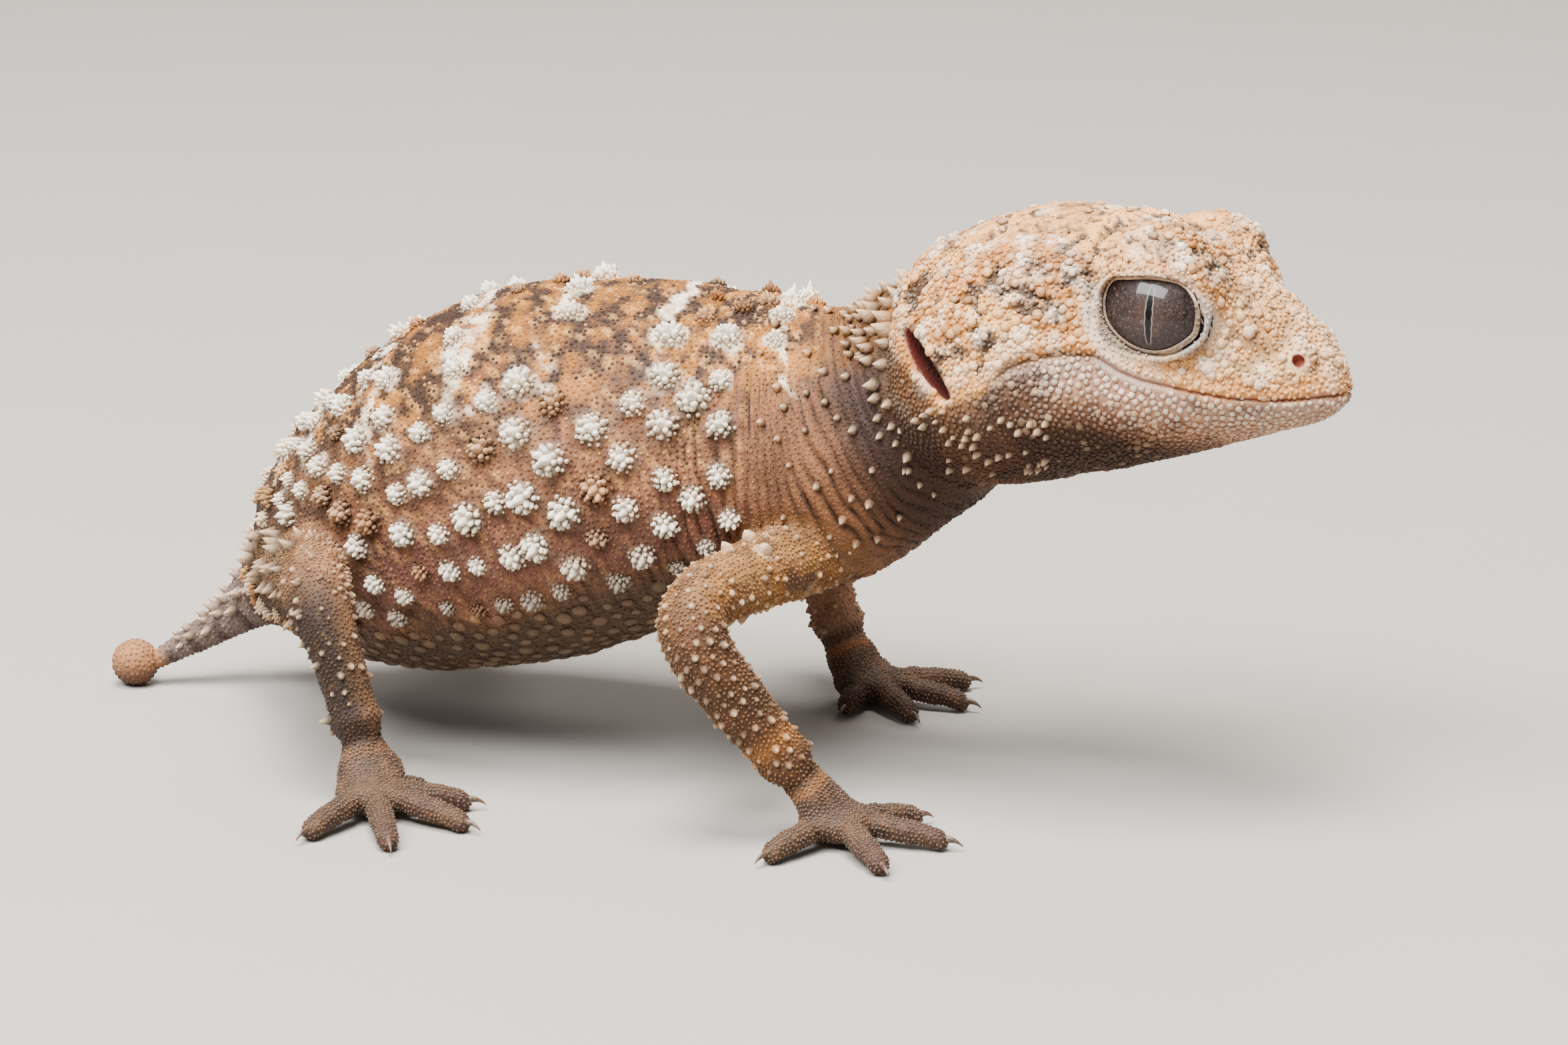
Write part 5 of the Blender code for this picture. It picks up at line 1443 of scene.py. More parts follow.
@dataclass(frozen=True)
class EyeFinish:
    """Grey-brown iris with dark threads, a narrow upright pupil and a glossy clear cover."""

    inner: str = "#43322b"
    middle: str = "#302422"
    outer: str = "#171112"
    thread: str = "#0e0b0b"
    rim: str = "#7c7068"
    mottle: str = "#6f5c52"
    line: str = "#0d0a0a"
    pupil: Tuple[float, float, float] = (0.002, 0.002, 0.002)
    slit_half_width: float = 0.24
    slit_half_height: float = 2.4
    gaze: Tuple[float, float] = (0.45, 0.2)

    def material(self) -> bpy.types.Material:
        """Builds the node material on the chart that measures from the eye's axis."""
        material, shader, add = new_material("eye_glossy")
        chart = add("ShaderNodeUVMap", {"uv_map": "iris"}).outputs["UV"]
        scaled = add("ShaderNodeVectorMath", {"operation": "SCALE"}, chart, Scale=1.0 / CHART_UNIT)
        centre = tuple(-0.5 / CHART_UNIT - shift for shift in self.gaze)
        moved = add("ShaderNodeVectorMath", {"operation": "ADD"}, scaled.outputs["Vector"], (*centre, 0.0))
        place = moved.outputs["Vector"]
        parts = add("ShaderNodeSeparateXYZ", None, place)
        across, up = parts.outputs["X"], parts.outputs["Y"]
        radius = add("ShaderNodeVectorMath", {"operation": "LENGTH"}, place).outputs["Value"]
        wander = add("ShaderNodeTexNoise", Vector=place, Scale=1.7, Detail=3.0)
        fine = add("ShaderNodeTexNoise", Vector=place, Scale=5.5, Detail=6.0, Roughness=0.65, Distortion=1.6)
        net = {"feature": "DISTANCE_TO_EDGE"}
        crackle = add("ShaderNodeTexVoronoi", net, Vector=fine.outputs["Color"], Scale=5.0)
        colour = add.blend(add.step(radius, 0.3, 2.2), linear_rgb(self.inner), linear_rgb(self.middle))
        colour = add.blend(add.step(radius, 2.4, 4.4), colour, linear_rgb(self.outer))
        lines = add.step(crackle.outputs["Distance"], 0.14, 0.03)
        colour = add.blend(add.maths("MULTIPLY", lines, 0.85), colour, linear_rgb(self.thread))
        mottle = add.step(fine.outputs["Fac"], 0.52, 0.72)
        colour = add.blend(add.maths("MULTIPLY", mottle, 0.9), colour, linear_rgb(self.mottle))
        for middle, amount, sway in ((-3.05, 0.5, 1.5), (2.75, 0.7, -1.1)):
            bend = add.maths("MULTIPLY", add.maths("SUBTRACT", wander.outputs["Fac"], 0.5), sway)
            curve = add.maths("MULTIPLY", add.maths("MULTIPLY", up, up), -0.07 if middle > 0 else 0.07)
            from_line = add.maths("SUBTRACT", add.maths("ADD", across, bend), add.maths("ADD", curve, middle))
            share = add.maths("MULTIPLY", add.step(add.maths("ABSOLUTE", from_line), 0.10, 0.03), amount)
            colour = add.blend(share, colour, linear_rgb(self.line))
        lobes = add.maths("MULTIPLY", add.maths("SINE", add.maths("MULTIPLY", up, 7.5)), 0.025)
        square = add.maths("POWER", add.maths("DIVIDE", up, self.slit_half_height), 2.0)
        tall = add.maths("MAXIMUM", add.maths("SUBTRACT", 1.0, square), 0.0)
        half = add.maths("MULTIPLY", add.maths("SQRT", tall), self.slit_half_width)
        half = add.maths("ADD", half, add.maths("MULTIPLY", lobes, tall))
        beyond = add.maths("SUBTRACT", add.maths("ABSOLUTE", across), half)
        top, end = self.slit_half_height + 0.05, self.slit_half_height - 0.25
        inside = add.step(add.maths("ABSOLUTE", up), top, end)
        border = add.maths("MULTIPLY", add.step(beyond, 0.15, 0.04), inside)
        colour = add.blend(add.maths("MULTIPLY", border, 0.8), colour, linear_rgb(self.rim))
        slit = add.maths("MULTIPLY", add.step(beyond, 0.04, -0.01), inside)
        bump = add("ShaderNodeBump", Height=fine.outputs["Fac"], Distance=0.05 * MM, Strength=0.5)
        add.wire(shader, {
            "Base Color": add.blend(slit, colour, self.pupil),
            "Roughness": 0.32,
            "Specular IOR Level": 0.1,
            "Coat Weight": 0.4,
            "Coat Roughness": 0.03,
            "Normal": bump.outputs["Normal"],
        })
        return material


@dataclass
class Eye:
    """One eyeball, its rings drawn close round the axis that looks out."""

    head: Head
    side: int

    def build(self, finish: bpy.types.Material) -> bpy.types.Object:
        """Makes the eyeball, with a chart in which a millimetre from the axis is a tenth."""
        polar = np.concatenate([np.linspace(0.01, 1.35, 74), np.linspace(1.45, math.pi - 0.02, 14)])[:, None]
        around = np.linspace(0.0, TURN, 120, endpoint=False)[None, :]
        axes = np.sin(polar) * np.cos(around), np.cos(polar), np.sin(polar) * np.sin(around)
        local = np.stack(np.broadcast_arrays(*axes), -1) * self.head.eye_radius
        name = EYE_NODES[self.side]
        eye = tube_mesh(f"{name}_ball", self.head.placed((local + self.head.eye_centre) * (1, self.side, 1)))
        flat = local.reshape(-1, 3)
        chart = np.vstack([flat, local[0].mean(0), local[-1].mean(0)])[:, [0, 2]] * CHART_UNIT + 0.5
        corners = np.empty(len(eye.data.loops), np.int32)
        eye.data.loops.foreach_get("vertex_index", corners)
        layer = eye.data.uv_layers.new(name="iris")
        layer.uv.foreach_set("vector", chart[corners].astype(np.float32).ravel())
        eye.data.materials.append(finish)
        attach(eye, "root")
        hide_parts(name)
        return eye


@dataclass
class Roots:
    """Where the coat stands: places, skin normals, parts and colours."""

    points: Array
    normals: Array
    regions: Regions
    colours: Array

    def pick(self, keep: Array) -> "Roots":
        """The roots that a mask or a row of numbers keeps."""
        regions = Regions(**{name: value[keep] for name, value in vars(self.regions).items()})
        return Roots(self.points[keep], self.normals[keep], regions, self.colours[keep])


@dataclass(frozen=True)
class Stud:
    """The shape of one bead, granule or spine: rings of a radius and a height share, then its top."""

    rings: Tuple[Tuple[float, float], ...]
    sides: int


BEAD = Stud(((0.85, -0.3), (1.0, 0.3), (0.6, 0.85)), 5)
GRANULE = Stud(((1.0, -0.4), (0.68, 0.62)), 5)
PEARL = Stud(((0.9, -0.3), (1.0, 0.2), (0.8, 0.62), (0.42, 0.92)), 9)
CONE = Stud(((1.0, -0.35), (0.84, 0.2), (0.42, 0.68)), 8)
BERRY = Stud(((1.0, -0.3), (0.84, 0.4), (0.46, 0.8)), 7)
THORN = Stud(((1.0, -0.3), (0.78, 0.12), (0.46, 0.47), (0.2, 0.8)), 8)


@dataclass
class Coat:
    """Scatters roots over the skin and stands closed studs on them."""

    gecko: Gecko
    markings: MarkingsAndPaintedLight
    finish: bpy.types.Material
    skin: bpy.types.Object
    most_triangles: int = 190_000

    def scatter(self, mask: Array, spacing: float, seed: int) -> Roots:
        """Roots no closer than a spacing, over the part of the skin that a mask keeps.

        Args:
            mask: True or False for each of the skin's vertices.
            spacing: least distance between two roots.
            seed: picks the pattern.

        Returns:
            The roots, with the skin's normal and the pattern's colours, painted shade and light at each.
        """
        mesh = self.skin.data
        store(mesh, "mask", "FLOAT", "value", mask)
        group = bpy.data.node_groups.new("scatter", "GeometryNodeTree")
        group.interface.new_socket("Geometry", in_out="INPUT", socket_type="NodeSocketGeometry")
        group.interface.new_socket("Geometry", in_out="OUTPUT", socket_type="NodeSocketGeometry")
        kinds = ("NodeGroupInput", "GeometryNodeDistributePointsOnFaces", "GeometryNodeStoreNamedAttribute",
                 "GeometryNodePointsToVertices", "NodeGroupOutput")
        chain = [group.nodes.new(kind) for kind in kinds]
        spread, keep = chain[1], chain[2]
        spread.distribute_method = "POISSON"
        spread.inputs["Distance Min"].default_value = spacing * MM
        spread.inputs["Density Max"].default_value = 7.0 / (spacing * MM) ** 2
        spread.inputs["Seed"].default_value = seed
        where = group.nodes.new("GeometryNodeInputNamedAttribute")
        where.data_type = "FLOAT"
        where.inputs["Name"].default_value = "mask"
        group.links.new(where.outputs["Attribute"], spread.inputs["Density Factor"])
        keep.data_type = "FLOAT_VECTOR"
        keep.inputs["Name"].default_value = "skin_normal"
        group.links.new(spread.outputs["Normal"], keep.inputs["Value"])
        for near, far in zip(chain, chain[1:]):
            group.links.new(near.outputs[0], far.inputs[0])
        modifier = self.skin.modifiers.new("scatter", "NODES")
        modifier.node_group = group
        bpy.context.view_layer.update()
        result = bpy.data.meshes.new_from_object(
            self.skin.evaluated_get(bpy.context.evaluated_depsgraph_get())
        )
        self.skin.modifiers.clear()
        mesh.attributes.remove(mesh.attributes["mask"])
        points = np.empty(3 * len(result.vertices), np.float32)
        result.vertices.foreach_get("co", points)
        normals = np.empty(3 * len(result.vertices), np.float32)
        result.attributes["skin_normal"].data.foreach_get("vector", normals)
        bpy.data.meshes.remove(result)
        bpy.data.node_groups.remove(group)
        return self.rooted(points.reshape(-1, 3).astype(float) / MM, normals.reshape(-1, 3).astype(float))

    def rooted(self, points: Array, normals: Array) -> Roots:
        """Roots at given points, with their parts and colours looked up."""
        regions = self.gecko.regions(points)
        return Roots(points, unit(normals), regions, self.markings.colours(regions))

    def chart(self, regions: Regions) -> Array:
        """Places on an unwrap of the skin: along each part, and round it.

        The trunk fills the left half, the head the upper right quarter and the legs, parted into
        columns, the lower right quarter.
        """
        local = regions.local
        round_trunk = regions.side * regions.from_top / 360.0 + 0.5
        round_head = np.arctan2(local[:, 1], local[:, 2] + 1.0) / TURN + 0.5
        round_leg = np.arctan2(regions.points[:, 1] - SHIFT[1], regions.points[:, 2]) / TURN + 0.5
        body = np.stack([0.02 + 0.46 * round_trunk, 0.02 + 0.96 * (regions.at + 1.0) / 14.5], -1)
        skull = np.stack([0.52 + 0.46 * round_head, 0.52 + 0.46 * (local[:, 0] + 6.0) / 41.0], -1)
        column = regions.limb * 6 + regions.digit
        leg = np.stack(
            [0.52 + 0.46 * (column + 0.9 * round_leg) / 24.0, 0.02 + 0.46 * regions.share / 2.0], -1
        )
        part = regions.weights.argmax(1)[:, None]
        return np.where(part == 0, body, np.where(part == 1, skull, leg))

    def stand(
        self, name: str, stud: Stud, roots: Roots, heading: Array, radius: Array, height: Array,
        tips: Array, seed: int
    ) -> None:
        """Stands one closed stud on every root and joins them into pieces under the triangle limit.

        A stud's rings are circles across its heading, each with its share of the radius and height,
        and its corners wander by a few percent.

        Args:
            name: the piece's name, numbered where it takes more than one.
            stud: the shape.
            roots: where the studs stand, with the colour at their foot.
            heading: the way each stud points.
            radius: the studs' radii.
            height: the studs' heights.
            tips: the colours at their tips.
            seed: picks how the corners wander.
        """
        rng = np.random.default_rng(SEED + seed)
        count, sides = len(roots.points), stud.sides
        aside = np.where(np.abs(heading[:, 2:]) > 0.9, [[1.0, 0.0, 0.0]], [[0.0, 0.0, 1.0]])
        across = unit(np.cross(heading, aside))
        beside = np.cross(heading, across)
        turn = rng.uniform(0, TURN, (count, 1)) + np.arange(sides) * TURN / sides
        circle = across[:, None] * np.cos(turn)[..., None] + beside[:, None] * np.sin(turn)[..., None]
        circle *= rng.uniform(0.9, 1.1, (count, sides, 1))
        radius, height = (np.broadcast_to(v, count)[:, None, None] for v in (radius, height))
        place = self.chart(roots.regions)
        spread = np.stack([np.cos(turn), np.sin(turn)], -1)
        points, charts, shades = [], [], []
        for number, (wide, high) in enumerate(stud.rings):
            points.append(roots.points[:, None] + heading[:, None] * high * height + circle * wide * radius)
            charts.append(place[:, None] + 0.0015 * (1.0 - 0.3 * number) * spread)
            share = max(high, 0.0)
            shades.append(np.repeat(((1 - share) * roots.colours + share * tips)[:, None], sides, axis=1))
        points.append(roots.points[:, None] + heading[:, None] * height)
        charts.append(place[:, None])
        shades.append(tips[:, None])
        points, charts, shades = (np.concatenate(v, axis=1) for v in (points, charts, shades))
        points[..., 2] = np.maximum(points[..., 2], 0.0)
        ring = np.arange(sides)
        after = (ring + 1) % sides
        faces = [np.stack([np.zeros(sides - 2, int), ring[2:], ring[1:-1]], -1)]
        for level in range(len(stud.rings) - 1):
            low, high = level * sides, (level + 1) * sides
            faces.append(np.stack([low + ring, low + after, high + after], -1))
            faces.append(np.stack([low + ring, high + after, high + ring], -1))
        last = (len(stud.rings) - 1) * sides
        faces.append(np.stack([last + ring, last + after, np.full(sides, last + sides)], -1))
        faces = np.vstack(faces)
        most = self.most_triangles // len(faces)
        for number, start in enumerate(range(0, count, most)):
            block = slice(start, start + most)
            here = points[block]
            index = (np.arange(len(here))[:, None, None] * here.shape[1] + faces).reshape(-1, 3)
            label = name if count <= most else f"{name}_{number + 1}"
            mesh = make_mesh(label, here.reshape(-1, 3), index)
            store(mesh, "markings", "FLOAT_COLOR", "color", with_alpha(shades[block].reshape(-1, 3)))
            layer = mesh.uv_layers.new(name="OFBake")
            layer.uv.foreach_set(
                "vector", charts[block].reshape(-1, 2)[index.ravel()].astype(np.float32).ravel()
            )
            mesh.materials.append(self.finish)
            piece = make_object(mesh)
            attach(piece, "root")
            LOG.info("%s: %d studs, %d triangles", label, len(here), len(index))

    def tinted(self, roots: Roots, amount: Array, seed: int) -> Array:
        """Root colours made lighter or darker at random, each stud by its own share."""
        rng = np.random.default_rng(SEED + 100 + seed)
        return roots.colours * (1.0 + amount * rng.uniform(-1.0, 1.0, (len(roots.points), 1)))

    def bare_spots(self, regions: Regions) -> Array:
        """True where beads may stand on the head: off the openings, the mouth line and the eyeball."""
        head = self.gecko.head
        local = fold_over(regions.local)
        hole = np.linalg.norm(local - head.nostril, axis=1) > head.nostril_radius + 0.22
        slit = head.ear_reach(local, 0.25) > 1.0
        eye = np.linalg.norm(local - head.eye_centre, axis=1) > head.eye_radius + 0.2
        x = local[:, 0]
        clear = 0.2 * ramp(x, MOUTH_CORNER_X - 1, MOUTH_CORNER_X + 1) + 0.3 * hump(x, 19.5, 2.6)
        line = np.abs(local[:, 2] + 0.1 - head.mouth(x)) > clear
        return hole & slit & eye & line

    def head_coat(self, regions: Regions) -> None:
        """The head's fine beads, round ones along the jaw, its pattern's pearls, and knobs between."""
        rng = np.random.default_rng(SEED + 2)
        roots = self.head_beads(regions, rng)
        self.jaw_beads(regions, rng)
        self.head_pearls(roots, rng)
        self.head_knobs(regions, rng)

    def head_beads(self, regions: Regions, rng: np.random.Generator) -> Roots:
        """Fine beads all over the head but for its cracks, and the roots they were picked from."""
        head = self.gecko.head
        roots = self.scatter(regions.weights[:, 1] > 0.5, 0.42, 1)
        roots = roots.pick(self.bare_spots(roots.regions))
        local = roots.regions.local
        x, z = local[:, 0], local[:, 2]
        above = z - head.mouth(x)
        crown = head.on_crown(x, z)
        lip = hump(above, -1.6, 1.7) * ramp(x, 9.0, 13.0)
        jaw = ramp(-above, 0.1, 0.6) * ramp(x, 8.5, 12.5)
        size = 0.205 + 0.03 * noise(local, 1.1, 101) + 0.02 * lip + 0.035 * jaw
        size *= (1.0 - 0.3 * ramp(head.lid_reach(x, z), 1.4, 1.15)) * (1.0 - 0.35 * crown)
        height = size * (0.82 - 0.4 * crown)
        # Bead tips stay dull where painted shade is laid, below the fold and behind the ear.
        dim = np.maximum(head.hollow_shade(x, np.abs(local[:, 1]), z), head.shade_behind_ear(x, z))
        pale = (0.12 + 0.22 * lip - 0.1 * ramp(-above, 4.0, 6.0)) * (1.0 - 0.85 * dim)
        tips = self.tinted(roots, 0.2 - 0.06 * jaw[:, None], 1)
        tips = mix(tips, Tone.WHITE.rgb, pale * rng.uniform(0.3, 1.5, len(pale)))
        # Bead feet darkened as painted shade, a little less on crown and jaw.
        colours = roots.colours * (0.84 + 0.08 * crown + 0.04 * jaw)[:, None]
        keep = head.crackle(local) < rng.uniform(0.8, 1.6, len(size))
        keep &= head.jaw_band(local) < rng.uniform(0.3, 0.7, len(size))
        fine = Roots(roots.points, roots.normals, roots.regions, colours).pick(keep)
        self.stand(
            "head_beads", BEAD, fine, fine.normals, size[keep], height[keep], tips[keep], 1
        )
        return roots

    def jaw_beads(self, regions: Regions, rng: np.random.Generator) -> None:
        """Round beads close together on the band along the lower jaw."""
        head = self.gecko.head
        band = (regions.weights[:, 1] > 0.6) & (head.jaw_band(regions.local) > 0.4)
        roots = self.scatter(band, 0.5, 21)
        roots = roots.pick(self.bare_spots(roots.regions))
        x, _, z = roots.regions.local.T
        below = head.mouth(x) - z
        size = rng.uniform(0.26, 0.33, len(below)) * (1.0 - 0.15 * ramp(x, 26.0, 31.0))
        pale = rng.uniform(0.15, 0.6, len(below)) * (1 - 0.45 * ramp(below, 1.5, 3.2))
        tips = mix(self.tinted(roots, 0.12, 21), Tone.WHITE.rgb, pale)
        # Bead feet darkened: painted shade between the beads.
        roots.colours = roots.colours * 0.84
        self.stand("jaw_beads", PEARL, roots, roots.normals, size, 0.72 * size, tips, 21)

    def head_pearls(self, roots: Roots, rng: np.random.Generator) -> None:
        """One large pearl on the root closest to the middle of each cell that holds one."""
        head = self.gecko.head
        x, _, z = roots.regions.local.T
        near, share, held = head.pearls(roots.regions.local)
        order = np.lexsort((near, share))
        best = order[np.concatenate([[True], np.diff(share[order]) > 0])]
        inside = (near[best] < head.pearl_reach) & (head.lid_reach(x, z)[best] > 1.3)
        pearls = roots.pick(best[(held[best] > 0) & inside])
        size = rng.uniform(0.32, 0.56, len(pearls.points))
        rear = ramp(-pearls.regions.local[:, 2], 1.5, 3.5)
        pearls.colours = mix(pearls.colours, Tone.TAN.rgb, 0.5)
        tips = mix(self.tinted(pearls, 0.08, 2), mix(Tone.WHITE.rgb, Tone.PEARL.rgb, 0.4), 0.55)
        heading = unit(pearls.normals - (0.4 * rear)[:, None] * head.turn[:, 0])
        wide, tall = size * (1 - 0.35 * rear), size * (0.52 + 0.7 * rear)
        self.stand("head_pearls", PEARL, pearls, heading, wide, tall, tips, 2)

    def head_knobs(self, regions: Regions, rng: np.random.Generator) -> None:
        """Larger beads in clusters, fewest on the crown, the snout and behind the ear."""
        head = self.gecko.head
        roots = self.scatter(regions.weights[:, 1] > 0.6, 0.66, 14)
        local = roots.regions.local
        x, _, z = local.T
        above = z - head.mouth(x)
        chance = 0.4 + 0.6 * ramp(noise(local, 2.6, 111, 2), -0.3, 0.3)
        by_height = 0.3 + 0.7 * ramp(above, 0.3, 1.2) + 0.4 * hump(above, -1.4, 1.4)
        chance *= (1.0 - 0.9 * head.on_crown(x, z)) * ramp(head.lid_reach(x, z), 1.25, 1.4) * by_height
        chance *= 1.0 - 0.4 * ramp(x, 24.0, 27.0)
        chance *= 1.0 - 0.93 * ramp(x, 12.0, 9.0) * ramp(-z, 1.8, 3.6)
        chance *= (1.0 - 0.85 * head.shade_behind_ear(x, z)) * (1.0 - 0.9 * head.jaw_band(local))
        keep = (rng.random(len(chance)) < chance) & self.bare_spots(roots.regions)
        roots = roots.pick(keep & (head.crackle(local) < 0.25))
        x, _, z = roots.regions.local.T
        size = rng.uniform(0.24, 0.42, len(roots.points)) * (1.0 + 0.15 * ramp(z, -1.0, 1.0))
        # Duller tips low on the head and below the fold, where painted shade is laid.
        low = np.maximum(ramp(-z, 3.5, 6.0), ramp(x, 11.0, 8.0) * ramp(-z, 1.0, 3.0))
        pale = rng.uniform(0.05, 0.55, len(size)) * (1 - 0.7 * low)
        tips = mix(self.tinted(roots, 0.15, 14), Tone.PEARL.rgb, pale)
        # Knob feet darkened: painted shade between the knobs.
        roots.colours = roots.colours * 0.84
        self.stand("head_knobs", PEARL, roots, roots.normals, size, 0.66 * size, tips, 15)

    def trunk_coat(self, regions: Regions) -> None:
        """Low granules between the rosettes, and flat domes on the belly."""
        rows = self.gecko.rosettes
        body = regions.weights[:, 0] > 0.5
        roots = self.scatter(body, 0.42, 3)
        distance, pick = nearest(roots.points, rows.spots)
        roots = roots.pick(distance > 1.1 * rows.size[pick])
        r = roots.regions
        neck = np.maximum(ramp(r.at, 9.9, 10.8), ramp(r.at, 8.9, 9.5) * ramp(r.from_top, 40, 58))
        size = 0.205 + 0.03 * noise(roots.points, 1.0, 103) - 0.055 * neck
        # Granule tips a little lighter and feet a little darker: painted light and shade along each granule.
        tips = self.tinted(roots, 0.22, 3) * 1.1
        roots.colours = roots.colours * 0.94
        tall = (0.52 - 0.1 * neck) * size
        self.stand("body_granules", GRANULE, roots, roots.normals, size, tall, tips, 3)
        belly = body & (regions.from_top > 122) & (regions.at > 3.6) & (regions.at < 10.2)
        roots = self.scatter(belly, 1.5, 13)
        size = np.random.default_rng(SEED + 13).uniform(0.38, 0.8, len(roots.points))
        tips = mix(self.tinted(roots, 0.2, 13), Tone.PEARL.rgb, 0.1)
        self.stand("belly_domes", PEARL, roots, roots.normals, size, 0.38 * size, tips, 14)

    def rosette_coat(self) -> None:
        """Each rosette: a cone that leans back and three rings of ever smaller and duller grains, the dulling
        partly the rosette's own colour and partly painted shade round its base.
        """
        rows = self.gecko.rosettes
        rng = np.random.default_rng(SEED + 4)
        regions = self.gecko.regions(rows.spots)
        angle = np.radians(90.0 - rows.from_top)
        trunk = self.gecko.trunk
        behind = unit(trunk.surface(rows.at - 0.03, angle) - rows.spots)
        beside = unit(trunk.surface(rows.at, angle + 0.03) - rows.spots)
        normal = unit(np.cross(beside, behind))
        centre = trunk.frame(rows.at)[0]
        normal *= np.sign(np.einsum("ij,ij->i", normal, rows.spots - centre))[:, None]
        ground = self.markings.colours(regions)
        rump = ramp(rows.at, 6.2, 4.4)
        dull = mix(np.broadcast_to(Tone.TAN.rgb, ground.shape), Tone.SHOULDER.rgb, rng.random(len(ground)))
        dull = mix(mix(dull, Tone.PEARL.rgb, 0.6 * rng.random(len(ground))), ground, 0.3)
        tips = np.where(rows.white[:, None], Tone.WHITE.rgb, dull)
        # Rosettes low on the flank take the belly's painted shade at their tips.
        low = ramp(np.abs(rows.from_top), 102, 122)
        tips = mix(tips, mix(Tone.PEARL.rgb, Tone.BELLY.rgb, low), 0.75 * low)
        tips = mix(tips, mix(Tone.CREAM.rgb, Tone.SHOULDER.rgb, 0.35), 0.65 * rump)
        base = mix(ground, tips, 0.6)
        tall_top = ramp(rows.at, 8.6, 9.8) * (1.0 - ramp(np.abs(rows.from_top), 46, 60))
        foot = rows.spots + normal * (rows.swelling * rows.size - 0.2)[:, None]
        down = np.array([0.0, 0.0, -1.0]) * ramp(np.abs(rows.from_top), 55, 95)[:, None]
        lean = unit(normal + (0.35 + 0.7 * rump)[:, None] * behind + 0.3 * down)
        tall = rows.size * (0.94 + 0.55 * rump + 0.45 * tall_top)
        wide = rows.size * (0.46 + 0.04 * tall_top - 0.06 * rump)
        feet = Roots(foot, normal, regions, base)
        self.stand("rosette_cones", CONE, feet, lean, wide, tall, tips, 4)
        for name, number, reach, wide, high, pale in (
            ("rosette_inner", 6, 0.52, 0.31, 0.68, 0.94),
            ("rosette_middle", 9, 0.84, 0.25, 0.44, 0.66),
            ("rosette_outer", 11, 1.12, 0.17, 0.24, 0.12),
        ):
            turn = rng.uniform(0, TURN, (len(ground), 1)) + np.arange(number) * TURN / number
            turn = turn + rng.uniform(-0.14, 0.14, turn.shape)
            away = behind[:, None] * np.cos(turn)[..., None] + beside[:, None] * np.sin(turn)[..., None]
            far = (reach * rows.size)[:, None] * rng.uniform(0.86, 1.12, turn.shape)
            spots = rows.spots[:, None] + away * far[..., None]
            rise = rows.swelling * rows.size[:, None] * hump(far, 0.0, 0.8 * rows.size[:, None]) - 0.12
            spots = (spots + normal[:, None] * rise[..., None]).reshape(-1, 3)
            curve = unit(np.repeat(normal + 0.25 * lean, number, 0) + 0.55 * away.reshape(-1, 3))
            each = np.repeat(rows.size, number) * rng.uniform(0.8, 1.2, len(spots))
            below, above = np.repeat(ground, number, 0), np.repeat(tips, number, 0)
            tint = mix(below, above, pale * rng.uniform(0.8, 1.1, len(spots)))
            ring = self.rooted(spots, curve)
            # Ring feet darkened: painted shade at the rosette's base.
            ring.colours = mix(below * 0.8, tint, 0.65)
            self.stand(name, BERRY, ring, curve, wide * each, high * each, tint, 5 + number)

    def limb_coat(self, regions: Regions) -> None:
        """Granules on legs and digits, tubercles on arms and shanks, spines behind thighs, knee grains."""
        leg = regions.weights[:, 2] > 0.5
        rear = np.array([-1.0, 0.0, 0.0])
        rng = np.random.default_rng(SEED + 8)
        roots = self.scatter(leg & (regions.share < 0.9), 0.35, 5)
        size = 0.165 + 0.025 * noise(roots.points, 1.0, 105)
        shank = ramp(roots.regions.share, 0.54, 0.62) * (roots.regions.limb >= 2)
        tips = mix(self.tinted(roots, 0.2, 5), Tone.CREAM.rgb, 0.18 * (1 - 0.8 * shank))
        # Granule feet darkened: painted shade between the granules.
        roots.colours = roots.colours * 0.76
        tall = 0.9 * size * (1 - 0.3 * shank)
        self.stand("leg_granules", GRANULE, roots, roots.normals, size, tall, tips, 6)
        roots = self.scatter(leg & (regions.share >= 0.9), 0.3, 6)
        roots = roots.pick(roots.points[:, 2] > 0.12)
        size = 0.145 + 0.02 * noise(roots.points, 1.0, 107)
        tips = mix(self.tinted(roots, 0.24, 6), Tone.PEARL.rgb, 0.14)
        # Granule feet darkened: painted shade between the digits' granules.
        roots.colours = roots.colours * 0.66
        self.stand(
            "digit_granules", GRANULE, roots, roots.normals, size, 0.8 * size, tips, 7
        )
        arm_or_shank = (regions.share < 0.86) & ((regions.limb < 2) | (regions.share > 0.55))
        roots = self.scatter(leg & arm_or_shank, 1.0, 8)
        chance = np.interp(roots.regions.share, (0.1, 0.4, 0.5, 0.86), (0.55, 0.7, 0.95, 0.8))
        chance = chance * np.where(roots.regions.limb < 2, 1.0, 0.42)
        roots = roots.pick(rng.random(len(roots.points)) < chance)
        patch = ramp(noise(roots.points, 1.5, 85), 0.25, 0.55) * hump(roots.regions.share, 0.27, 0.14)
        size = rng.uniform(0.24, 0.44, len(roots.points)) * (1.0 + 0.7 * patch)
        tips = mix(self.tinted(roots, 0.1, 8), Tone.PEARL.rgb, rng.uniform(0.15, 0.75, len(size)))
        heading = unit(roots.normals + 0.35 * self.limb_heading(roots))
        self.stand("arm_tubercles", CONE, roots, heading, size, 1.25 * size, tips, 8)
        roots = self.scatter(leg & (regions.share < 0.84) & (regions.limb >= 2), 2.15, 9)
        share = roots.regions.share
        facing = roots.normals @ rear + 0.2 * roots.normals[:, 2]
        below = ramp(share, 0.5, 0.6)
        chance = np.interp(facing + 0.25 * below, (-0.2, 0.3, 0.8), (0.15, 0.6, 0.95))
        keep = rng.random(len(roots.points)) < chance
        roots, share, facing = roots.pick(keep), share[keep], facing[keep]
        strong = np.interp(facing, (0.0, 0.7), (0.5, 1.0))
        strong *= np.interp(share, (0.3, 0.5, 0.6), (1.0, 0.8, 0.62))
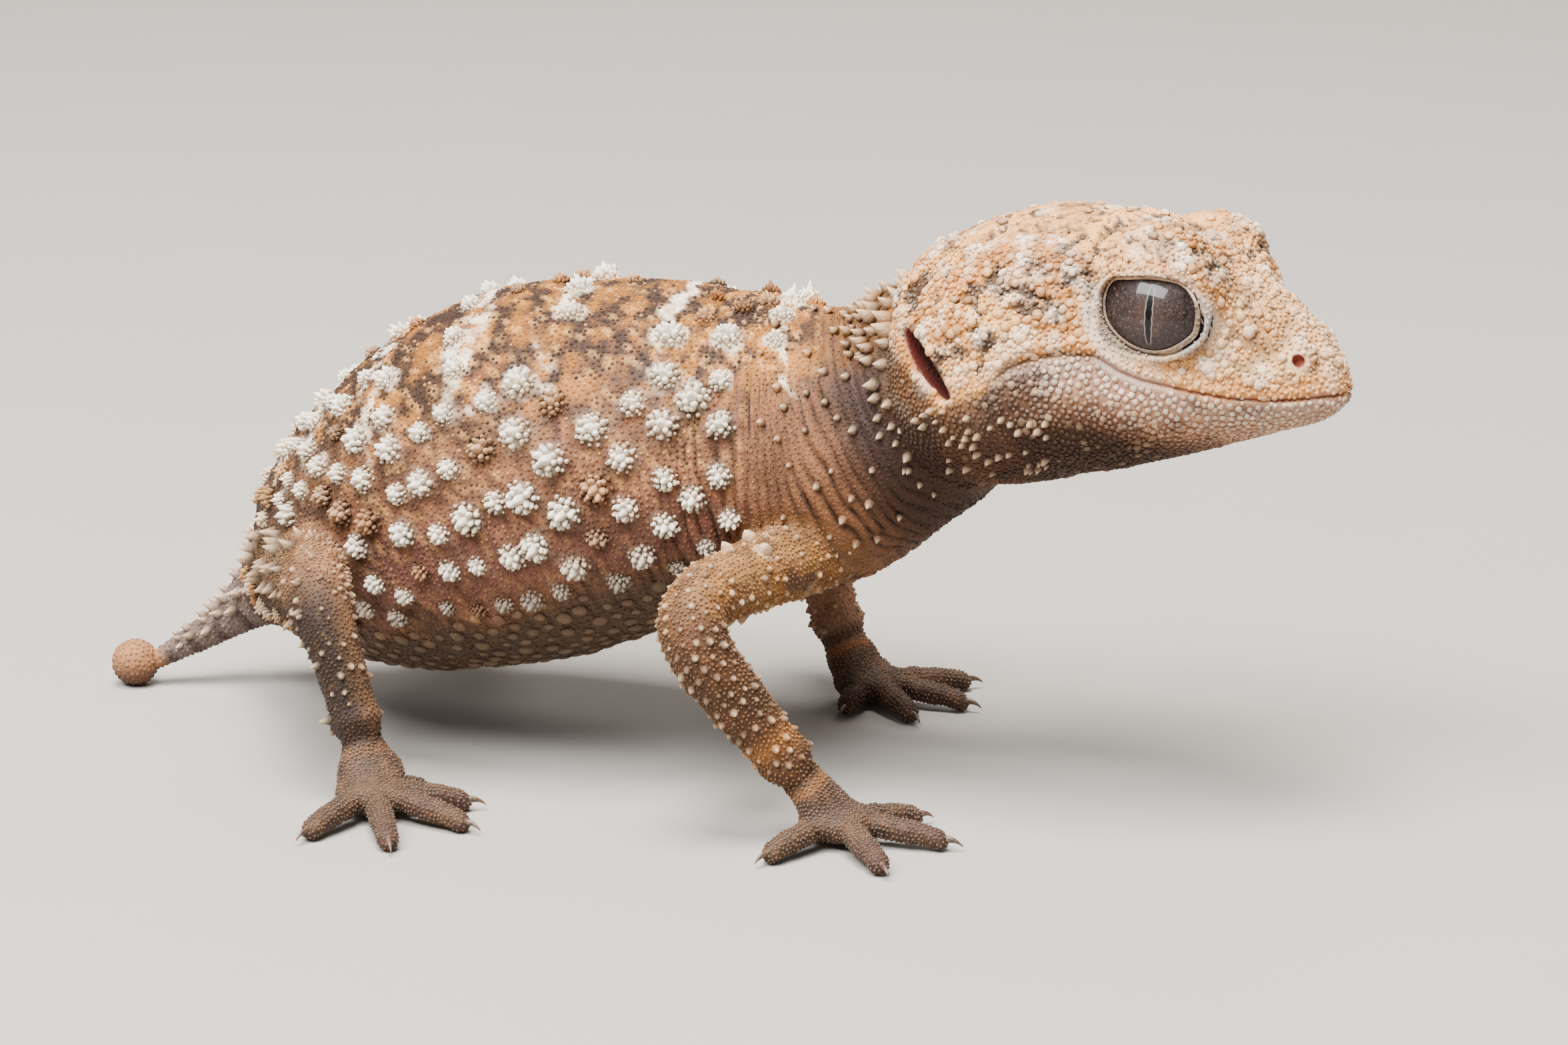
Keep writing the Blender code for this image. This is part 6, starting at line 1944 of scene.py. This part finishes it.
        strong *= rng.uniform(0.75, 1.15, len(roots.points))
        heading = unit(roots.normals + 0.3 * rear + (0.0, 0.0, -0.15))
        tips = mix(self.tinted(roots, 0.08, 9), Tone.PEARL.rgb, 0.72)
        # Spine feet darkened: painted shade at their bases.
        roots.colours = roots.colours * 0.8
        self.stand(
            "leg_spines", THORN, roots, heading, 0.82 * strong, 1.55 * strong, tips, 9
        )
        knee = leg & (regions.share > 0.25) & (regions.share < 0.62) & (regions.limb >= 2)
        roots = self.scatter(knee, 0.7, 15)
        chance = 0.95 * ramp(roots.normals @ rear, 0.35, 0.1) * ramp(noise(roots.points, 2.5, 113), -0.8, -0.1)
        roots = roots.pick(rng.random(len(roots.points)) < chance)
        size = rng.uniform(0.2, 0.36, len(roots.points))
        tips = mix(self.tinted(roots, 0.1, 15), Tone.PEARL.rgb, rng.uniform(0.15, 0.65, len(size)))
        self.stand("knee_grains", CONE, roots, roots.normals, size, 1.3 * size, tips, 16)

    def limb_heading(self, roots: Roots) -> Array:
        """The way down each leg at the roots."""
        heading = np.zeros_like(roots.points)
        for limb in self.gecko.limbs:
            mine = roots.regions.limb == limb.number
            pick = np.searchsorted(limb.share, roots.regions.share[mine]).clip(0, len(limb.share) - 1)
            heading[mine] = limb.ahead[pick]
        return heading

    def spine_coat(self) -> None:
        """Spines in rows on the tail, a collar of cones round the nape and low tubercles on the neck."""
        trunk, rng = self.gecko.trunk, np.random.default_rng(SEED + 10)
        rows = []
        for row, at in enumerate(np.linspace(0.75, 3.25, 7)):
            for from_top in np.arange(-76, 77, 38) + 19 * (row % 2):
                size = np.interp(at, (0.5, 2.2), (0.6, 1.0))
                rows.append((at + rng.uniform(-0.05, 0.05), from_top + rng.uniform(-4, 4), size))
        at, from_top, strong = np.array(rows).T
        strong = strong * rng.uniform(0.8, 1.1, len(at))
        self.row_of_spines("tail_spines", at, from_top, 0.62 * strong, 1.35 * strong, 0.5, 10)
        spots = []
        head = self.gecko.head
        ranks = ((0.04, 1.0), (0.2, 0.9), (0.38, 0.7), (0.58, 0.55))
        for from_top in np.arange(-117, 118, 9.0):
            table = np.linspace(10.6, 12.9, 240)
            line = trunk.surface(table, np.full_like(table, math.radians(90.0 - from_top)))
            _, over = head.locate(line)
            edge = table[np.argmax(over < 0.3)] if (over < 0.3).any() else 12.4
            for number, (back, size) in enumerate(ranks if abs(from_top) < 62 else ranks[:2]):
                shift = 4.5 * (number % 2) + rng.uniform(-2.0, 2.0)
                spots.append((edge - back + rng.uniform(-0.05, 0.05), from_top + shift, size))
        at, from_top, strong = np.array(spots).T
        strong = strong * rng.uniform(0.65, 1.15, len(at))
        strong *= np.interp(np.abs(from_top), (60, 112), (1.0, 0.5))
        keep = rng.random(len(at)) < np.interp(np.abs(from_top), (64, 104), (0.93, 0.42))
        at, from_top, strong = at[keep], from_top[keep], strong[keep]
        self.row_of_spines("nape_collar", at, from_top, 0.88 * strong, 1.5 * strong, 0.35, 11)
        at, from_top = rng.uniform(9.7, 12.2, 220), rng.uniform(-140, 140, 220)
        apart = np.hypot(*((v[:, None] - v[None, :]) / s for v, s in ((at, 0.24), (from_top, 8.0)))) < 1.0
        keep = ~np.triu(apart, 1).any(0)
        at, from_top = at[keep], from_top[keep]
        strong = rng.uniform(0.55, 1.0, len(at))
        self.row_of_spines("neck_tubercles", at, from_top, 0.5 * strong, 0.6 * strong, 0.4, 17)

    def row_of_spines(
        self, name: str, at: Array, from_top: Array, radius: Array, height: Array,
        lean: float, seed: int
    ) -> None:
        """Pale-tipped spines at stations and degrees from the top, leaning back by a share."""
        trunk = self.gecko.trunk
        angle = np.radians(90.0 - from_top)
        spots = trunk.surface(at, angle, -trunk.inset)
        behind = unit(trunk.surface(at - 0.03, angle) - trunk.surface(at, angle))
        normal = unit(spots - trunk.frame(at)[0])
        roots = self.rooted(spots, normal)
        tips = mix(self.tinted(roots, 0.1, seed), Tone.PEARL.rgb, 0.8)
        self.stand(name, THORN, roots, unit(normal + lean * behind), radius, height, tips, seed)

    def jaw_spines(self, regions: Regions) -> None:
        """Small cones in clusters at the rear of the jaw, below the ear."""
        local = regions.local
        zone = (regions.weights[:, 1] > 0.6) & (local[:, 0] < 14) & (local[:, 2] < 1.0)
        roots = self.scatter(zone, 0.8, 12)
        rng = np.random.default_rng(SEED + 12)
        local = roots.regions.local
        chance = ramp(local[:, 0], 14.0, 9.0) * ramp(-local[:, 2], 2.5, 4.5) * ramp(local[:, 2], -9.4, -8.0)
        chance *= ramp(noise(local, 2.1, 115), 0.2, 0.36)
        roots = roots.pick((rng.random(len(local)) < chance) & self.bare_spots(roots.regions))
        size = rng.uniform(0.28, 0.46, len(roots.points))
        tips = mix(self.tinted(roots, 0.1, 12), Tone.PEARL.rgb, 0.68)
        heading = unit(roots.normals - 0.4 * self.gecko.head.turn[:, 0])
        self.stand("jaw_cones", CONE, roots, heading, size, 1.7 * size, tips, 12)

    def build(self) -> None:
        """Every coat piece in order."""
        points, _, _ = mesh_arrays(self.skin.data)
        regions = self.gecko.regions(points)
        store(self.skin.data, "markings", "FLOAT_COLOR", "color", with_alpha(self.markings.colours(regions)))
        self.head_coat(regions)
        self.trunk_coat(regions)
        self.rosette_coat()
        self.limb_coat(regions)
        self.spine_coat()
        self.jaw_spines(regions)


@dataclass(frozen=True)
class ClawFinish:
    """Horn: dark brown with paler patches from a fine noise, which also gives a faint bump."""

    root: str = "#3c2b21"
    streak: str = "#6e5442"

    def material(self) -> bpy.types.Material:
        """Builds the node material."""
        material, shader, add = new_material("claw_horn")
        place = add("ShaderNodeTexCoord").outputs["Object"]
        grain = add("ShaderNodeTexNoise", Vector=place, Scale=1.0 / (0.35 * MM), Detail=4.0).outputs["Fac"]
        colour = add.blend(add.step(grain, 0.35, 0.7), linear_rgb(self.root), linear_rgb(self.streak))
        bump = add("ShaderNodeBump", Height=grain, Distance=0.02 * MM)
        add.wire(shader, {"Base Color": colour, "Roughness": 0.42, "Normal": bump.outputs["Normal"]})
        return material


def build_claws(gecko: Gecko) -> None:
    """All twenty claws, one piece for each leg."""
    horn = ClawFinish().material()
    for limb in gecko.limbs:
        pieces = [tube_mesh("claw", grid) for grid in limb.claws()]
        points, triangles, start = [], [], 0
        for piece in pieces:
            own, _, _ = mesh_arrays(piece.data)
            corners = np.empty(len(piece.data.loops), np.int32)
            piece.data.loops.foreach_get("vertex_index", corners)
            own[:, 2] = np.maximum(own[:, 2], 0.0)
            points.append(own)
            triangles.append(corners.reshape(-1, 3) + start)
            start += len(own)
            bpy.data.objects.remove(piece, do_unlink=True)
        claws = make_object(make_mesh(f"claws_{limb.name}", np.vstack(points), np.vstack(triangles)))
        claws.data.materials.append(horn)
        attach(claws, "root")
        LOG.info("%s: %d claws", claws.name, len(pieces))


@dataclass(frozen=True)
class Studio:
    """Pale floor, soft lights and the camera at the photograph's angle, in metres."""

    azimuth: float = 17.0
    elevation: float = 14.5
    distance: float = 0.46
    lens: float = 125.0
    sensor: float = 36.0
    target: Tuple[float, float, float] = (0.0079, -0.0040, 0.0210)
    floor_size: float = 6.0
    floor_tone: Tuple[float, float, float] = (0.33, 0.30, 0.27)

    def aim(self, obj: bpy.types.Object, azimuth: float, elevation: float, reach: float) -> None:
        """Puts an object at a distance from the target, in a direction in degrees, facing it."""
        a, e = math.radians(azimuth), math.radians(elevation)
        back = Vector((math.sin(a) * math.cos(e), -math.cos(a) * math.cos(e), math.sin(e)))
        obj.location = Vector(self.target) + back * reach
        obj.rotation_euler = (-back).to_track_quat("-Z", "Y").to_euler()
        bpy.context.scene.collection.objects.link(obj)

    def camera(self) -> None:
        """Makes the scene's camera."""
        lens = bpy.data.cameras.new("camera")
        lens.lens, lens.sensor_width = self.lens, self.sensor
        lens.clip_start, lens.clip_end = 0.01, 50.0
        camera = bpy.data.objects.new("camera", lens)
        self.aim(camera, self.azimuth, self.elevation, self.distance)
        bpy.context.scene.camera = camera

    def light(
        self, name: str, direction: Tuple[float, float], reach: float, size: Tuple[float, float],
        power: float, tint: Sequence
    ) -> None:
        """A soft rectangular light that faces the animal from an azimuth and elevation."""
        lamp = bpy.data.lights.new(name, "AREA")
        lamp.shape = "RECTANGLE"
        lamp.energy, lamp.color = power, tint
        lamp.size, lamp.size_y = size
        self.aim(bpy.data.objects.new(name, lamp), *direction, reach)

    def floor(self) -> None:
        """A pale floor with a faint grain."""
        half = 1000.0 * self.floor_size / 2
        corners = np.array([(-half, -half, 0), (half, -half, 0), (half, half, 0), (-half, half, 0)], float)
        floor = make_object(make_mesh("floor", corners, np.array([(0, 1, 2), (0, 2, 3)])))
        material, shader, add = new_material("floor_plain")
        place = add("ShaderNodeTexCoord").outputs["Object"]
        grain = add("ShaderNodeTexNoise", Vector=place, Scale=60.0, Detail=3.0).outputs["Fac"]
        darker = tuple(0.96 * value for value in self.floor_tone)
        add.wire(shader, {"Base Color": add.blend(grain, self.floor_tone, darker), "Roughness": 0.8})
        floor.data.materials.append(material)

    def build(self) -> None:
        """Sets up camera, floor, lights and the surrounding light."""
        self.camera()
        self.floor()
        self.light("window", (-20.0, 52.0), 0.75, (0.75, 0.28), 19.0, (0.95, 0.98, 1.0))
        self.light("sky", (-4.0, 80.0), 0.8, (0.35, 0.35), 20.0, (1.0, 0.99, 0.97))
        self.light("rim", (185.0, 45.0), 0.9, (0.5, 0.5), 3.5, (1.0, 0.97, 0.93))
        world = bpy.data.worlds.new("world")
        world.use_nodes = True
        background = world.node_tree.nodes["Background"]
        background.inputs["Color"].default_value = (0.95, 0.93, 0.90, 1.0)
        background.inputs["Strength"].default_value = 0.38
        bpy.context.scene.world = world


def main() -> None:
    """Builds skin, coat, eyes, claws and studio."""
    logging.basicConfig(level=logging.INFO, format="%(name)s %(message)s")
    gecko = Gecko()
    LOG.info("rosettes: %d", len(gecko.rosettes.at))
    skin = Skin(gecko).build()
    skin.data.materials.clear()
    finish = SkinFinish("gecko_hide").material()
    skin.data.materials.append(finish)
    soft_nodes = [name for name in frame["nodes"] if name not in EYE_NODES.values()]
    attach(skin, "root")
    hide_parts(*soft_nodes)
    LOG.info("gecko_skin: %d points, %d faces", len(skin.data.vertices), len(skin.data.polygons))
    Coat(gecko, MarkingsAndPaintedLight(gecko), finish, skin).build()
    eye_finish = EyeFinish().material()
    for side in (1, -1):
        LOG.info("eye: %s", Eye(gecko.head, side).build(eye_finish).name)
    build_claws(gecko)
    Studio().build()


if __name__ == "__main__":
    main()
